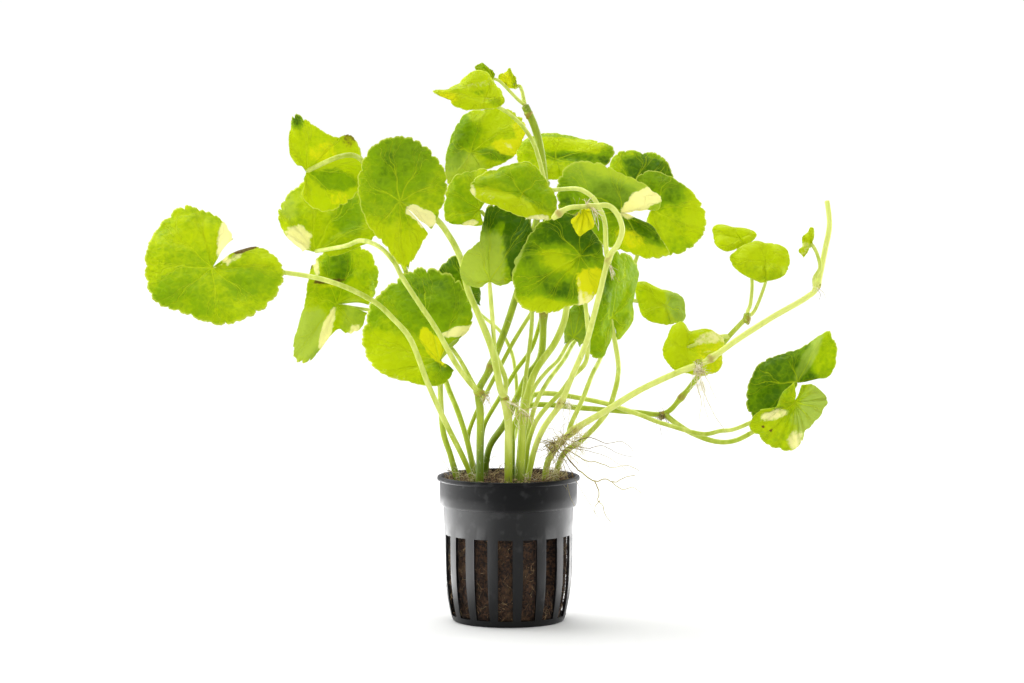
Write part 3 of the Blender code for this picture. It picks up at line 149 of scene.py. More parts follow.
# How each blade looks: its tone from light to dark, and patches of each kind, as place from the
# heart, half sizes, turn in degrees, amount and softness. The light patches are painted highlights
# and sheen on lit parts, and the dark patches are painted shade, from folds and from the blades in
# front; the tone is partly the blade's own colour and partly painted shade. A closing carries the
# rim on behind its start, to shut the cleft.
LOOKS = {
    "leaf_far_left": dict(tone=0.2,
        cream=((5.2, 10.4, 3, 8.9, -8, 0.85, 0.38), (8.5, 3.7, 3.3, 1.5, 30, 0.5, 0.38)),
        dark=((-10.9, -10.9, 12.1, 8.3, 0, 0.25, 0.6), (15, -6.3, 10.2, 5.6, 0, 0.25, 0.5)),
        brown=((12.6, 7, 5.2, 1.1, 20, 0.9, 0.38),)),
    "leaf_left_high": dict(tone=0.05,
        gold=((6.1, 6.9, 6.5, 4.6, 0, 0.5, 0.4), (11.7, -9.8, 4.6, 2.8, 0, 0.5, 0.4)),
        dark=((10.4, -3, 8.2, 4.1, -8, 0.5, 0.25), (-3.2, 19.3, 2, 3.3, 0, 0.7, 0.5)),
        brown=((15.6, 11.9, 3, 3.3, 0, 0.5, 0.6),)),
    "leaf_left_back": dict(tone=0.15,
        cream=((-5.6, 4.5, 4.5, 5.2, 30, 0.85, 0.4),),
        dark=((13, 13.7, 5.6, 7.4, 0, 0.35, 0.4),),
        back=((-10.4, 17.4, 3.3, 5.6, 20, 0.4, 0.4),)),
    "leaf_left_low": dict(tone=0.22,
        cream=((-7.6, 14.5, 1.3, 4.8, 8, 0.6, 0.4), (-3.7, -9.6, 1.9, 8.2, -18, 0.9, 0.38),
            (6.7, -10.4, 2.6, 3.7, 0, 0.7, 0.4)),
        gold=((-2.2, 7, 4.8, 1.1, 8, 0.5, 0.5),),
        light=((-11.1, -11.1, 6.3, 8.9, -18, 0.9, 0.4),),
        dark=((0.4, 13.7, 5.2, 5.6, 0, 0.5, 0.3), (-8.2, -15.6, 3.3, 5.9, -10, 0.25, 0.5)),
        brown=((-10.8, 13.7, 1.9, 1.9, 0, 0.85, 0.5), (-3.3, 8.5, 5.9, 1.1, 4, 0.7, 0.5)),
        back=((-11.1, -11.5, 7, 10.8, -18, 0.9, 0.22), (6.7, -5.2, 4.1, 8.2, 0, 0.5, 0.4))),
    "leaf_left_front": dict(tone=0.3,
        cream=((7.8, -5.2, 6.3, 2.6, -28, 0.95, 0.38), (9.6, -7, 3, 3, 0, 0.8, 0.38)),
        light=((0.4, -16.7, 16.7, 9.6, 0, 0.6, 0.5),),
        dark=((0.4, 15.2, 10.8, 11.1, 0, 0.35, 0.7),)),
    "leaf_left_wide": dict(tone=0.36,
        cream=((-16.3, -5.6, 8.9, 2.2, -14, 0.3, 0.5), (7.4, 10.9, 5.9, 2, 14, 0.95, 0.4)),
        gold=((-2.2, 5.2, 3, 7.8, 34, 1, 0.35),),
        light=((-19.3, 0.4, 13.4, 10.4, -24, 0.8, 0.5),),
        dark=((0.6, 26.7, 13.5, 13.7, 0, 0.28, 0.5), (3, -0.7, 4.5, 4.1, 0, 0.4, 0.4))),
    "leaf_top": dict(tone=0, wave=1.5, closing=((5.2, -2.6, 0.4), (2.2, -4.3, 0.8)),
        cream=((-2.2, 5.2, 7, 1.5, 10, 0.35, 0.5), (-1.7, -0.4, 4.6, 1.1, 0, 0.3, 0.6)),
        gold=((-14.5, 0.4, 5.2, 2.6, 0, 0.6, 0.5),),
        dark=((-2.6, 1.9, 2.2, 1.1, 0, 0.3, 0.6), (3.3, -1.5, 3, 1.5, 0, 0.3, 0.6))),
    "leaf_top_bud": dict(tone=0,
        gold=((-3, 2.6, 2.2, 3.7, 0, 0.8, 0.4),)),
    "leaf_top_curled": dict(tone=0.4),
    "leaf_upper_middle": dict(tone=0.14, closing=((0, -8.8, 1), (4.5, -8, 1.2)),
        cream=((13.7, 2.6, 2.2, 1.1, -25, 0.55, 0.6),),
        gold=((13, 1.9, 5.9, 3, -18, 0.8, 0.5), (18.6, 7, 3.3, 5.9, 20, 0.6, 0.6)),
        light=((13.7, 13.7, 10.4, 4.5, 0, 0.5, 0.6), (-3.2, -7, 1.3, 7.4, -42, 0.5, 0.5)),
        dark=((-5.2, 4.5, 4.1, 10.8, -14, 0.42, 0.4), (8.9, -0.9, 6.3, 1.7, -12, 0.5, 0.35),
            (1.9, 7, 2.2, 5.9, -10, 0.25, 0.5)),
        back=((-2.2, -7.4, 7, 8.5, 45, 0.55, 0.22),)),
    "leaf_middle_left": dict(tone=0.3,
        cream=((-3.7, -5, 3, 1.3, 10, 0.8, 0.38),),
        dark=((-9.3, -12.4, 5.6, 6.5, 0, 0.3, 0.5),)),
    "leaf_front_high": dict(tone=0.3, closing=((10.2, -10, 0), (5.5, -9.6, 0.8)),
        cream=((-10, -2.6, 9.3, 1.5, -24, 0.3, 0.6), (-18.2, 0.7, 1.1, 3.3, 0, 0.5, 0.5),
            (5.9, -9.3, 5.2, 1.5, 2, 0.65, 0.5)),
        light=((-4.1, -5.2, 16.7, 4.1, -22, 0.95, 0.3),),
        dark=((1.1, 3.7, 9.3, 4.8, -20, 0.15, 0.6),)),
    "leaf_back_high": dict(tone=0.15, closing=((-2, -7.5, 0), (3.5, -7, 0.8)),
        gold=((5.2, 5.6, 5.2, 0.7, -5, 0.3, 0.5),),
        light=((7, 5.4, 10.8, 2, -5, 0.9, 0.5),),
        dark=((6.9, 0.7, 10.9, 1.9, -4, 0.65, 0.5), (19.3, 1.1, 3.7, 4.8, 0, 0.5, 0.4),
            (6.7, 8, 9.6, 0.9, -5, 0.3, 0.5))),
    "leaf_right_folded": dict(tone=0.38,
        cream=((9.3, 5.6, 7, 3.3, 14, 1, 0.4), (5.2, 1.9, 6.7, 3.3, 34, 0.95, 0.4)),
        gold=((3, -9.6, 6.7, 3.7, -28, 0.55, 0.5),),
        light=((-5.9, 18.6, 16.3, 5.2, -26, 0.75, 0.5), (8.2, -14.1, 11.1, 4.5, -25, 0.9, 0.4)),
        dark=((-3.3, 5.6, 8.5, 5.6, -14, 0.45, 0.5), (-20, 8.9, 4.5, 4.5, -10, 0.3, 0.5),
            (6.3, -5.9, 10.8, 4.5, -30, 0.45, 0.4), (-20, 1.5, 4.5, 3, 0, 0.35, 0.5)),
        back=((1.5, 16.3, 27.5, 14.1, -16, 0.5, 0.25),)),
    "leaf_right_back": dict(tone=0.3,
        dark=((7.8, 4.8, 12.2, 7, -30, 0.6, 0.22),)),
    "leaf_right_round": dict(tone=0.2,
        light=((15.6, -2.2, 3.7, 9.3, 0, 0.4, 0.4),),
        dark=((-0.4, 10.4, 12.2, 8.5, -32, 0.45, 0.22),)),
    "leaf_front": dict(tone=0.42, veins=9, closing=((6.8, 7, 0.8), (8.5, 3, 1.2)),
        cream=((3, -17.1, 4.5, 3.7, 26, 0.55, 0.6), (-0.2, -11.9, 0.9, 5.9, 4, 0.4, 0.5)),
        gold=((4.3, -11.5, 5.4, 7.8, 12, 1, 0.38),),
        light=((-7.4, 0.4, 7.4, 4.1, 12, 0.85, 0.6), (-12.6, 1.1, 9.6, 1.1, 4, 0.5, 0.6),
            (-6.5, -6.7, 6.5, 4.5, 38, 0.6, 0.5), (-12.2, -20.4, 13, 4.8, -4, 1, 0.4),
            (-23.6, 0.4, 2, 10.8, -22, 0.7, 0.3), (5.2, -9.6, 3.7, 3.7, 10, 0.5, 0.5)),
        dark=((-2, 6.7, 10.9, 8.9, -20, 0.6, 0.5), (-18.4, 4.8, 5.4, 7, -24, 0.4, 0.6),
            (-8.5, -11.1, 7, 5.2, -28, 0.5, 0.6)),
        back=((-23.6, 0.4, 2, 10.8, -22, 1, 0.12),)),
    "leaf_middle_folded": dict(tone=0.3,
        light=((-1.9, 4.5, 5.9, 7.4, 30, 0.55, 0.6),),
        dark=((13.7, 14.5, 8.2, 19.7, 2, 0.85, 0.12), (-0.4, 25.2, 6.7, 8.9, -32, 0.7, 0.3)),
        back=((-3.9, 5.2, 9.8, 14.8, -10, 0.75, 0.12),)),
    "leaf_right_hanging": dict(tone=0.46, wave=0.9,
        light=((1.9, -2.6, 5.9, 9.3, -15, 0.25, 0.5), (4.5, 13.7, 4.1, 7, -10, 0.2, 0.5)),
        dark=((-4.6, 15, 5, 8.3, 0, 0.35, 0.5),)),
    "leaf_right_middle": dict(tone=0.1, closing=((1, -7.3, 1.2), (3.5, -6.8, 1.5)),
        light=((-0.2, -0.4, 1.7, 7, 25, 0.7, 0.5),),
        dark=((4.8, -0.4, 4.1, 5.6, 20, 0.35, 0.3),),
        back=((8.9, 0.4, 8.2, 10, 25, 0.9, 0.22),)),
    "leaf_right_pale": dict(tone=0.02, closing=((0.5, 6, 0.8), (2.5, 5.5, 1.2)),
        cream=((9.8, 3.7, 8, 2.6, 12, 0.55, 0.5), (11.3, -2.2, 6.5, 1.1, -6, 0.4, 0.5)),
        gold=((10.4, -2.4, 9.3, 11.7, 0, 0.45, 0.5),),
        light=((3, -0.2, 13, 13.9, 0, 0.8, 0.6),)),
    "leaf_pair_left": dict(tone=0, closing=((2, -3.2, 0.8), (-1, -3.5, 1.2)),
        light=((-1.5, 1.1, 13.4, 9.3, 0, 1, 0.8),)),
    "leaf_pair_right": dict(tone=0.2, closing=((-1.5, -7.5, 1), (1.5, -7.3, 1.4)),
        light=((1.9, 4.8, 9.3, 4.8, 8, 0.9, 0.7),)),
    "leaf_far_right_bud": dict(tone=0.05,
        cream=((-1.7, -0.4, 1.7, 3, -20, 0.4, 0.4),)),
    "leaf_low_right_back": dict(tone=0.85,
        light=((11.7, 10.4, 6.1, 12.2, 0, 1, 0.22), (11.7, 10.4, 6.1, 12.2, 0, 0.9, 0.4)),
        back=((4.1, 9.3, 2.2, 9.6, -28, 1, 0.22),)),
    "leaf_low_right_front": dict(tone=0.25, veins=15, closing=((-5, 3, 1), (0, 7, 1)),
        cream=((0.4, -14.5, 3.3, 4.5, -5, 0.6, 0.5), (-7.8, -5, 5.9, 2, 16, 0.62, 0.5)),
        brown=((-11.5, -9.3, 0.7, 0.7, 0, 0.8, 0.5), (-8.7, -10.6, 0.6, 0.6, 0, 0.8, 0.5)),
        back=((8, -4.5, 7.2, 13, -20, 1, 0.22),)),
    "leaf_left_hidden": dict(tone=0.85),
    "leaf_right_small": dict(tone=0.6,
        back=((0.7, 1.7, 5.6, 6.9, 0, 0.8, 0.3),)),
    "leaf_yellow": dict(tone=0.1, wave=0.4,
        gold=((0.4, -4.5, 7, 7.4, 0, 0.9, 0.5),),
        light=((0.7, -3, 3.7, 3, 0, 0.5, 0.6),)),
}

# Runners and stems, each with its width and its tone from pale to dark. A planted one gives
# x and depth in the plug. A swelling is (place along the points, growth).
STEMS = {
    "stem_left": dict(width=3, tone=0.66, planted=(-10.5, -13), swellings=((6, 0.3),), route=(
        (-10.5, 67, -15), (-10.5, 78, -16.5), (-11, 85.5, -17.5), (-6.5, 94.5, -14), (0, 111.5, -6),
        (5.5, 130, 4), (10, 147, 12), (14.5, 163, 24))),
    "stem_middle": dict(width=3.1, tone=0.12, taper=0.95, planted=(0, -13), swellings=((5, 0.3),), route=(
        (0, 64, -14), (0, 74, -15.5), (-1.5, 83, -17))),
    "stem_top": dict(
        width=2.4, tone=0.66, taper=1.2, planted=(-9, 8), swellings=((8, 0.35), (14, 0.3)),
        route=((-7, 64.5, 6), (-1.5, 73, 3), (3, 82.5, 5), (7, 91, 7), (12, 98.5, 9), (13, 114.5, 9),
               (14, 141.5, 12), (13.5, 160, 14), (12, 174, 14), (9.5, 183.5, 13), (6, 191, 12))),
    "stem_right": dict(
        width=2.3, tone=0.08, planted=(7, -8.5), swellings=((5, 0.45), (10, 0.4), (15, 0.4), (16.5, 0.7)),
        route=((9.5, 63, -8.5), (13, 71.5, -9), (19.5, 81, -10), (23, 89.5, -16), (28.5, 102.5, -29),
               (31.5, 113, -41), (34, 123, -46.5), (37, 134.5, -47), (40.5, 140, -48), (42, 145.5, -48),
               (40, 151, -47), (36.5, 154, -47), (30, 153.5, -48), (22, 153, -50), (16, 149, -50))),
    "stem_far_right": dict(
        width=2.5, tone=0.04, planted=(13.5, -4), swellings=((4, 0.4), (10, 0.5), (14, 0.5), (17.4, 0.45)),
        route=((15.5, 61, -4), (24, 70.5, -6), (37, 78.5, -10), (47.5, 85, -13), (56.5, 89.5, -15),
               (64.5, 93, -17), (70, 95, -18), (75, 97.5, -19), (85.5, 105, -20), (98, 113, -20),
               (110, 120, -18), (114, 124.5, -17), (117, 138, -14), (118.5, 147, -12), (117.5, 156, -10))),
    "stem_low_right": dict(width=2.3, tone=0.42, planted=(1.5, 3), swellings=((9, 0.5), (13, 0.4)), route=(
        (1.5, 63.5, 5), (2, 72.5, 8), (8.5, 80, 13), (27.5, 79, 14), (46.5, 77.5, 14), (57.5, 77, 12),
        (64, 83, 9), (73, 94.5, 3), (81, 105, -3), (88, 112.5, -7))),
}

# Stalks of the leaves of the same name, which end on the blade's back, or on its front
# where ends_in_front is given
STALKS = {
    "stalk_far_left": dict(width=2.2, planted=(-13, -8), route=(
        (-17, 61, -11), (-23.5, 74, -16), (-30, 88.5, -22), (-36, 104, -27), (-42.5, 112, -29),
        (-50.5, 119, -29), (-66, 126, -27), (-85, 129.5, -19), (-100, 131, -19))),
    "stalk_left_high": dict(width=2.2, tone=0.3, planted=(-12.5, -1), ends_in_front=True, route=(
        (-15, 65.5, -1), (-18.5, 77, 1), (-22.5, 87, 5), (-27, 100.5, 12), (-32.5, 115.5, 16),
        (-38, 130, 14), (-43.5, 145, 4), (-49, 159.5, -9), (-54.5, 171, -20), (-62, 172, -25),
        (-69, 169.5, -26))),
    "stalk_left_back": dict(width=2, ends_in_front=True, route=(
        (-13.5, 87.5, -21), (-19.5, 95.5, -26), (-26.5, 108, -32), (-33.5, 118.5, -35), (-39, 127, -34),
        (-42.5, 133.5, -33), (-48, 139, -30), (-54.5, 141, -24), (-60.5, 139, -18), (-67, 137.5, -10))),
    "stalk_left_low": dict(width=1.6, route=(
        (-13, 88, -13.5), (-18, 97, -11), (-22.5, 103, -4), (-27, 107, 4), (-32.5, 111.5, 10),
        (-42, 114.5, 16), (-52, 115.5, 21), (-60, 116.5, 22))),
    "stalk_left_front": dict(width=2.7, route=(
        (-3, 86.5, -21), (-4.5, 94, -23), (-6.5, 102, -24), (-11, 113.5, -24), (-15, 123, -22),
        (-17.5, 134, -22), (-22, 143, -26), (-28, 150, -32), (-36, 154.5, -38))),
    "stalk_left_wide": dict(width=2.6, tone=0.3, planted=(-19, -3), route=(
        (-21.5, 61.5, -3), (-24.5, 72.5, -4), (-25.5, 87, -6))),
    "stalk_upper_middle": dict(width=1.9, tone=0.5, planted=(-10, 13), route=(
        (-10, 63.5, 13), (-9, 72.5, 13), (-3.5, 82.5, 11), (2.5, 92.5, 11), (9.5, 103.5, 15),
        (13.5, 123, 20), (10, 141.5, 20), (-2, 158, 19), (-10, 168, 15))),
    "stalk_middle_left": dict(width=1.8, tone=0.3, planted=(3, -3), route=(
        (4, 63.5, -2), (5, 78.5, 0), (6.5, 91.5, 0), (8.5, 108.5, -6), (8.5, 118, -8), (6, 132, -6),
        (-2, 147, -4))),
    "stalk_front_high": dict(width=1.9, route=(
        (36, 138.5, -43), (35.5, 148, -41), (33, 154, -40), (30.5, 157.5, -39), (26, 160, -37),
        (20, 160, -33), (12, 158, -31))),
    "stalk_right_folded": dict(width=1.8, tone=0.35, planted=(-11.5, 6), route=(
        (-13.5, 60, 6), (-15, 68, 5), (-12.5, 76, 2), (-8, 85, -2), (-3, 94.5, -4), (1.5, 103, -3),
        (7, 112, 0), (15.5, 124.5, 3), (24.5, 137.5, 6), (35, 147.5, 2))),
    "stalk_right_back": dict(width=2.9, tone=0.25, planted=(4.5, -13), route=(
        (5, 63.5, -13), (5.5, 77, -12), (8, 87.5, -11), (11, 94.5, -10), (17, 103, -8), (20.5, 111, -6),
        (22, 118, -3), (26, 130, 6), (35, 147, 22))),
    "stalk_right_round": dict(width=1.9, route=(
        (23, 72.5, -3), (27.5, 82.5, 1), (31, 91.5, 6), (34, 97.5, 12), (38.5, 110, 24), (43.5, 123, 30),
        (48, 136, 31))),
    "stalk_front": dict(width=2, planted=(6.5, -3.5), route=(
        (7, 64, -3.5), (9.5, 72.5, -4), (13, 78, -4.5), (19.5, 85, -5), (23.5, 90.5, -7), (28.5, 96, -12),
        (29.5, 104, -21), (29, 112.5, -29), (28, 121, -33))),
    "stalk_middle_folded": dict(width=1.9, route=(
        (-1, 89, -14), (-3, 95, -16), (-5, 100, -19), (-5.5, 107, -23), (-6.5, 115, -27))),
    "stalk_right_hanging": dict(width=2.3, planted=(17, 2), route=(
        (20.5, 62, 2), (26.5, 66.5, 1), (33, 73, 0), (37, 78.5, 0), (39, 84, 1), (40.5, 90.5, 4),
        (40.5, 97, 9), (39.5, 104, 12.5))),
    "stalk_right_middle": dict(width=1.9, planted=(6, 3), route=(
        (6.5, 64, 2.5), (8.5, 75, 3), (11, 82.5, 4), (15, 89.5, 9), (20.5, 97, 17), (24, 103, 23),
        (30, 111.5, 29), (40, 119, 36), (50.5, 119, 40))),
    "stalk_low_right_back": dict(width=2.2, route=(
        (60, 75, 11), (66.5, 70.5, 8), (75, 67, 6), (82, 66.5, 5), (88.5, 69, 6), (95, 74, 9),
        (102, 82, 10))),
    "stalk_low_right_front": dict(width=2, route=(
        (9, 83.5, 17), (14.5, 84.5, 19), (25, 83, 18), (37, 80.5, 14), (43, 78.5, 9), (50, 76, 5),
        (56.5, 73.5, 2), (71, 69.5, -4), (78.5, 70.5, -7), (86, 72, -9), (97, 76, -10))),
}

# Short stalks that are grown into their blades, in one piece
GROWN_STALKS = {
    "leaf_top": dict(width=1.7, route=(
        (12.5, 166.5, 10.4), (11.2, 171.5, 10.2), (9.2, 177, 9.4), (6.5, 181.5, 8), (4, 184.5, 6),
        (0, 188, 3), (-5, 191, 0))),
    "leaf_top_bud": dict(width=1.5, route=((5.5, 193.5, 13.5), (5, 196, 13.5), (4, 198, 13))),
    "leaf_top_curled": dict(width=1.3, route=(
        (3.5, 193, 9.5), (0.5, 196, 8.5), (-3, 199.5, 9.5), (-5, 200.5, 10))),
    "leaf_back_high": dict(width=1.8, route=(
        (13.9, 161.6, 27.4), (14, 163.2, 31.5), (14.5, 166.5, 36), (16, 169.8, 37.5))),
    "leaf_right_pale": dict(width=1.7, route=((78.5, 105.5, -5), (74, 104, -8), (69, 102.5, -10))),
    "leaf_pair_left": dict(width=1.5, route=(
        (88.5, 115, -8), (89.5, 118, -9), (90, 126, -8), (88.5, 133, -7), (86, 139, -6))),
    "leaf_pair_right": dict(width=1.4, route=(
        (90.5, 114.5, -7), (92.5, 118.5, -10), (95, 126, -13), (95, 131, -14))),
    "leaf_far_right_bud": dict(width=1.5, route=(
        (113, 127, -19.5), (115, 131, -20), (114, 136, -18), (112, 139.5, -15.5))),
    "leaf_yellow": dict(width=1.2, route=((28.2, 150.9, -49.4), (28.1, 151.6, -50.2))),
    "leaf_left_hidden": dict(width=1.5, route=(
        (3, 72, 17), (3, 86.5, 20), (2.5, 92.5, 20), (1.5, 98.5, 20), (-1, 104.5, 21), (-4, 108.5, 23),
        (-10.5, 114, 28), (-14.5, 118.5, 29))),
    "leaf_right_small": dict(width=1.7, planted=(7, 9), route=(
        (7, 64, 8), (7, 78.5, 7), (9.5, 86.5, 8), (14, 92.5, 9.5), (18.5, 97, 12), (22, 103, 14.5))),
}

# Places of the tangles of fine roots
ROOTS = {
    "roots_runner_base": (20.5, 66.5, -10.5),
    "roots_runner_middle": (72.5, 88, -21),
    "roots_stem_middle": (4.5, 79, -18.5),
    "roots_low_right": (57, 73.5, 13.5),
}
TANGLE_REACH = 9.0                   # how near its place a root belongs to a tangle

# Long roots: tone from dark to white, radius, and places as (x, z, depth)
ROOT_THREADS = (
    (0.5, 0.19, ((-10.6, 84.4, -19), (-8.3, 82.9, -19.5), (-7.2, 81.1, -20), (-6.1, 78.5, -19.5))),
    (0.5, 0.16, ((-10.9, 84, -19), (-9.5, 81.8, -19.5), (-8.7, 79.2, -20), (-9.1, 76.6, -19))),
    (0.05, 0.26, ((-0.6, 81.4, -20), (3.2, 79.6, -21), (6.9, 77, -21), (9.1, 72.5, -20.5))),
    (0.1, 0.22, ((-0.9, 80.7, -20), (1.3, 77.7, -21), (3.5, 74.4, -20.5), (4.3, 71, -20))),
    (0.8, 0.12, ((21.7, 80.7, -12), (22.8, 77.7, -13), (22.1, 74, -13), (23.2, 69.9, -13))),
    (0.8, 0.1, ((21.3, 80.7, -12), (20.2, 77, -13), (21, 73.3, -13), (19.1, 69.2, -13))),
    (0.7, 0.1, ((22.1, 81.1, -12), (24.3, 78.5, -13), (25.4, 75.1, -13), (24.7, 71.4, -13))),
    (0.61, 0.24, ((19.1, 63.6, -12), (23.6, 62.5, -13), (28.4, 59.5, -13), (33.2, 58.8, -13),
        (38.4, 56.9, -14), (43.6, 57.7, -14), (48.8, 55.5, -13))),
    (0.59, 0.3, ((20.2, 62.9, -12), (23.6, 58.4, -13), (26.5, 55.5, -14), (32.1, 51.8, -15),
        (35.8, 52.5, -15), (39.5, 51.4, -16), (43.2, 53.2, -16), (46.9, 54, -16))),
    (0.61, 0.24, ((31.7, 52.1, -15), (32.8, 49.9, -15), (33.6, 47.3, -15), (33.2, 44.7, -15),
        (35.1, 42.5, -15), (35.8, 39.5, -15), (38, 36.5, -14))),
    (0.64, 0.17, ((33.9, 44.7, -15), (32.1, 42.1, -15), (32.5, 39.1, -15))),
    (0.64, 0.19, ((38.4, 51.4, -16), (42.1, 48.8, -16), (46.2, 49.5, -16), (49.2, 47.3, -16))),
    (0.64, 0.19, ((24.7, 66.6, -13), (30.2, 68.1, -14), (36.2, 65.9, -15), (42.1, 66.6, -15),
        (46.6, 62.9, -15))),
    (0.64, 0.17, ((23.6, 65.1, -13), (29.5, 64, -14), (34.7, 65.1, -15), (40.6, 62.1, -15),
        (47.3, 60.7, -15))),
    (0.66, 0.12, ((19.8, 62.1, -12), (24.3, 53.2, -14), (29.5, 44.3, -15), (35.8, 34.7, -14),
        (43.2, 27.3, -13))),
    (0.66, 0.12, ((18.4, 62.9, -12), (21.3, 55.5, -13), (22.4, 47.3, -14), (25.8, 39.9, -14))),
    (0.66, 0.14, ((21.3, 64.4, -12), (30.2, 62.9, -14), (37.7, 60.3, -15), (44.3, 55.5, -16))),
    (0.66, 0.12, ((16.5, 62.1, -12), (15, 57.7, -14), (16.1, 53.2, -16))),
    (1, 0.2, ((70.7, 93.3, -22), (71, 88.9, -23), (73.3, 82.5, -23), (76.6, 76.2, -22), (80.7, 69.9, -20))),
    (1, 0.18, ((69.6, 92.6, -22), (69.9, 87.4, -23), (71.4, 81.4, -23), (70.7, 74.8, -22))),
    (1, 0.16, ((71.8, 92.9, -22), (74, 88.9, -23), (76.2, 83.7, -22), (79.2, 78.8, -21))),
    (0.95, 0.13, ((70.3, 92.6, -22), (72.5, 86.6, -22.5), (72.5, 80.7, -23), (74.8, 72.5, -22))),
    (0.95, 0.13, ((68.8, 92.9, -22), (67.7, 88.1, -23), (67.3, 82.9, -23), (68.8, 78.5, -23))),
    (0.8, 0.12, ((114.1, 123.4, -18), (115.2, 121.1, -19), (114.8, 118.9, -19))),
    (0.8, 0.1, ((114.5, 123.4, -18), (116.3, 121.9, -19), (117.4, 119.6, -19))),
    (0.4, 0.14, ((57.3, 75.9, 12), (56.2, 72.5, 12), (56.9, 68.8, 11))),
    (0.5, 0.12, ((58.1, 75.9, 12), (59.5, 72.9, 12), (58.8, 70.3, 12))),
    (0.1, 0.06, ((23.9, 157.1, -51), (24.7, 155.3, -51), (24.3, 153.8, -51))),
    (0.1, 0.06, ((26.2, 156.7, -51), (25.8, 154.9, -51), (26.5, 153.4, -51))),
    (1, 0.14, ((30.6, 152.7, -51), (32.8, 150.4, -52), (35.1, 147.8, -52), (36.9, 145.2, -52))),
    (0.7, 0.09, ((-22.1, 56.2, -6), (-23.6, 58.4, -8), (-25, 60.7, -9), (-24.3, 62.9, -9),
        (-22.1, 62.5, -8))),
    (0.7, 0.08, ((-21, 55.5, -6), (-23.2, 56.2, -8), (-25.4, 55.8, -9), (-26.5, 54, -9))),
    (0.5, 0.1, ((-6.9, 55.5, -14), (-7.2, 58.8, -16), (-5.4, 61, -16.5), (-3.2, 59.9, -16.5),
        (-3.5, 56.6, -16))),
    (0.5, 0.1, ((-4.3, 55.5, -15), (-2, 58.4, -17), (-0.6, 56.9, -17), (-1.3, 54.4, -16))),
    (0.85, 0.09, ((6.5, 91.5, -2), (8, 89.6, -3), (7.6, 87, -3))),
    (0.85, 0.08, ((12.1, 98.5, 7), (13.5, 96.3, 6), (12.8, 93.3, 6))),
)

# Clusters of fine roots: place, count, ball size, length, radius, tones, way and bend
ROOT_CLUSTERS = (
    ((-8.6, 84, -19), 22, 1.2, 5, 0.1, (0.3, 0.6), (1.4, 0, -1.2)),
    ((1.4, 80.8, -19), 20, 1.8, 9, 0.11, (0.4, 0.8), (1, -0.2, -1)),
    ((5.4, 77.5, -18.8), 22, 2.4, 10, 0.12, (0.3, 0.75), (1, -0.2, -0.8)),
    ((22.3, 80.8, -12), 26, 1, 5, 0.08, (0.2, 0.6), (0.1, 0, -1.4)),
    ((16.6, 65.8, -10.5), 44, 2.6, 10, 0.16, (0.05, 0.5), (-0.5, -0.2, -0.9)),
    ((20.2, 67.4, -11.2), 44, 3, 12, 0.14, (0.15, 0.6), (0.4, -0.2, -0.4)),
    ((24, 66, -11.5), 20, 2.6, 17, 0.11, (0.45, 0.8), (1.5, 0, -0.7)),
    ((26, 69.5, -12), 14, 2.6, 17, 0.1, (0.48, 0.85), (1.5, 0, 0.2)),
    ((18.5, 61, -10), 16, 2.2, 8, 0.1, (0.3, 0.7), (0.4, -0.3, -1.2)),
    ((70.6, 93.6, -21), 90, 1.8, 5, 0.13, (0.5, 0.9), (0, 0, -0.6)),
    ((71.5, 88, -21.5), 26, 1.8, 8, 0.09, (0.8, 1), (0.3, 0, -2)),
    ((57, 75.6, 11.5), 54, 1.4, 4.6, 0.13, (0, 0.4), (0, -0.2, 0.3)),
    ((114.3, 123.5, -18.5), 10, 0.8, 3, 0.08, (0.6, 0.95), (0.3, 0, -1.4)),
    ((31, 153, -50.5), 7, 0.6, 9, 0.17, (0.95, 1), (2.6, -0.2, -2.2), 0.25),
    ((29, 154.5, -50), 7, 0.6, 5.5, 0.15, (0.95, 1), (0.2, 0, 2.2), 0.25),
    ((26.5, 152, -50.5), 4, 0.4, 6, 0.15, (0.95, 1), (-2, -0.2, -1.8), 0.25),
    ((37.6, 131.8, -49.2), 9, 0.5, 7.5, 0.16, (0.95, 1), (1.6, -0.1, -2.6), 0.25),
    ((88.3, 111.5, -9), 10, 1, 1.6, 0.07, (0.5, 0.8), (0, 0, 0)),
    ((6, 191, 11), 8, 0.6, 1.8, 0.07, (0.2, 0.5), (0, 0, 0)),
    ((6.4, 52.8, -12), 40, 3, 6, 0.08, (0.5, 0.85), (0, -0.3, 1)),
    ((-13, 53, -10), 40, 3, 6, 0.07, (0.5, 0.85), (-0.4, -0.2, 0.8)),
    ((17, 54, -10), 60, 3, 8, 0.09, (0.4, 0.8), (0.3, -0.3, 1.2)),
    ((-18, 54, -6), 14, 2, 9, 0.05, (0.6, 0.9), (-0.8, 0, 1.5)),
)

# Papery brown collars round the nodes: place, half width, half height and tone
SHEATHS = (
    ((-11, 85, -17.5), 2.15, 1.6, 0.15),
    ((-1.5, 82.8, -17), 1.9, 1.3, 0.25),
    ((19.6, 81, -10.2), 1.5, 1, 0.1),
    ((70.4, 95.4, -18.2), 1.7, 1.9, 0.2),
    ((114, 124.4, -17), 1.5, 1.6, 0.3),
    ((57.3, 76.8, 12), 1.5, 1.1, 0.1),
    ((88.2, 112.3, -8), 1.45, 2.2, 0.4),
    ((7.4, 188, 12.5), 1.6, 2.2, 0.1),
)

WELD = 0.002 * MM                    # corners nearer than this are made one
STRAND_WELD = 0.0005 * MM


# Tools
def deselect():
    if bpy.context.object and bpy.context.object.mode != "OBJECT":
        bpy.ops.object.mode_set(mode="OBJECT")
    bpy.ops.object.select_all(action="DESELECT")


def pick(thing):
    deselect()
    thing.select_set(True)
    bpy.context.view_layer.objects.active = thing


def open_mesh(thing):
    """Opens a piece for editing, with all of it selected."""
    pick(thing)
    bpy.ops.object.mode_set(mode="EDIT")
    bpy.ops.mesh.select_all(action="SELECT")


def close_mesh():
    bpy.ops.object.mode_set(mode="OBJECT")


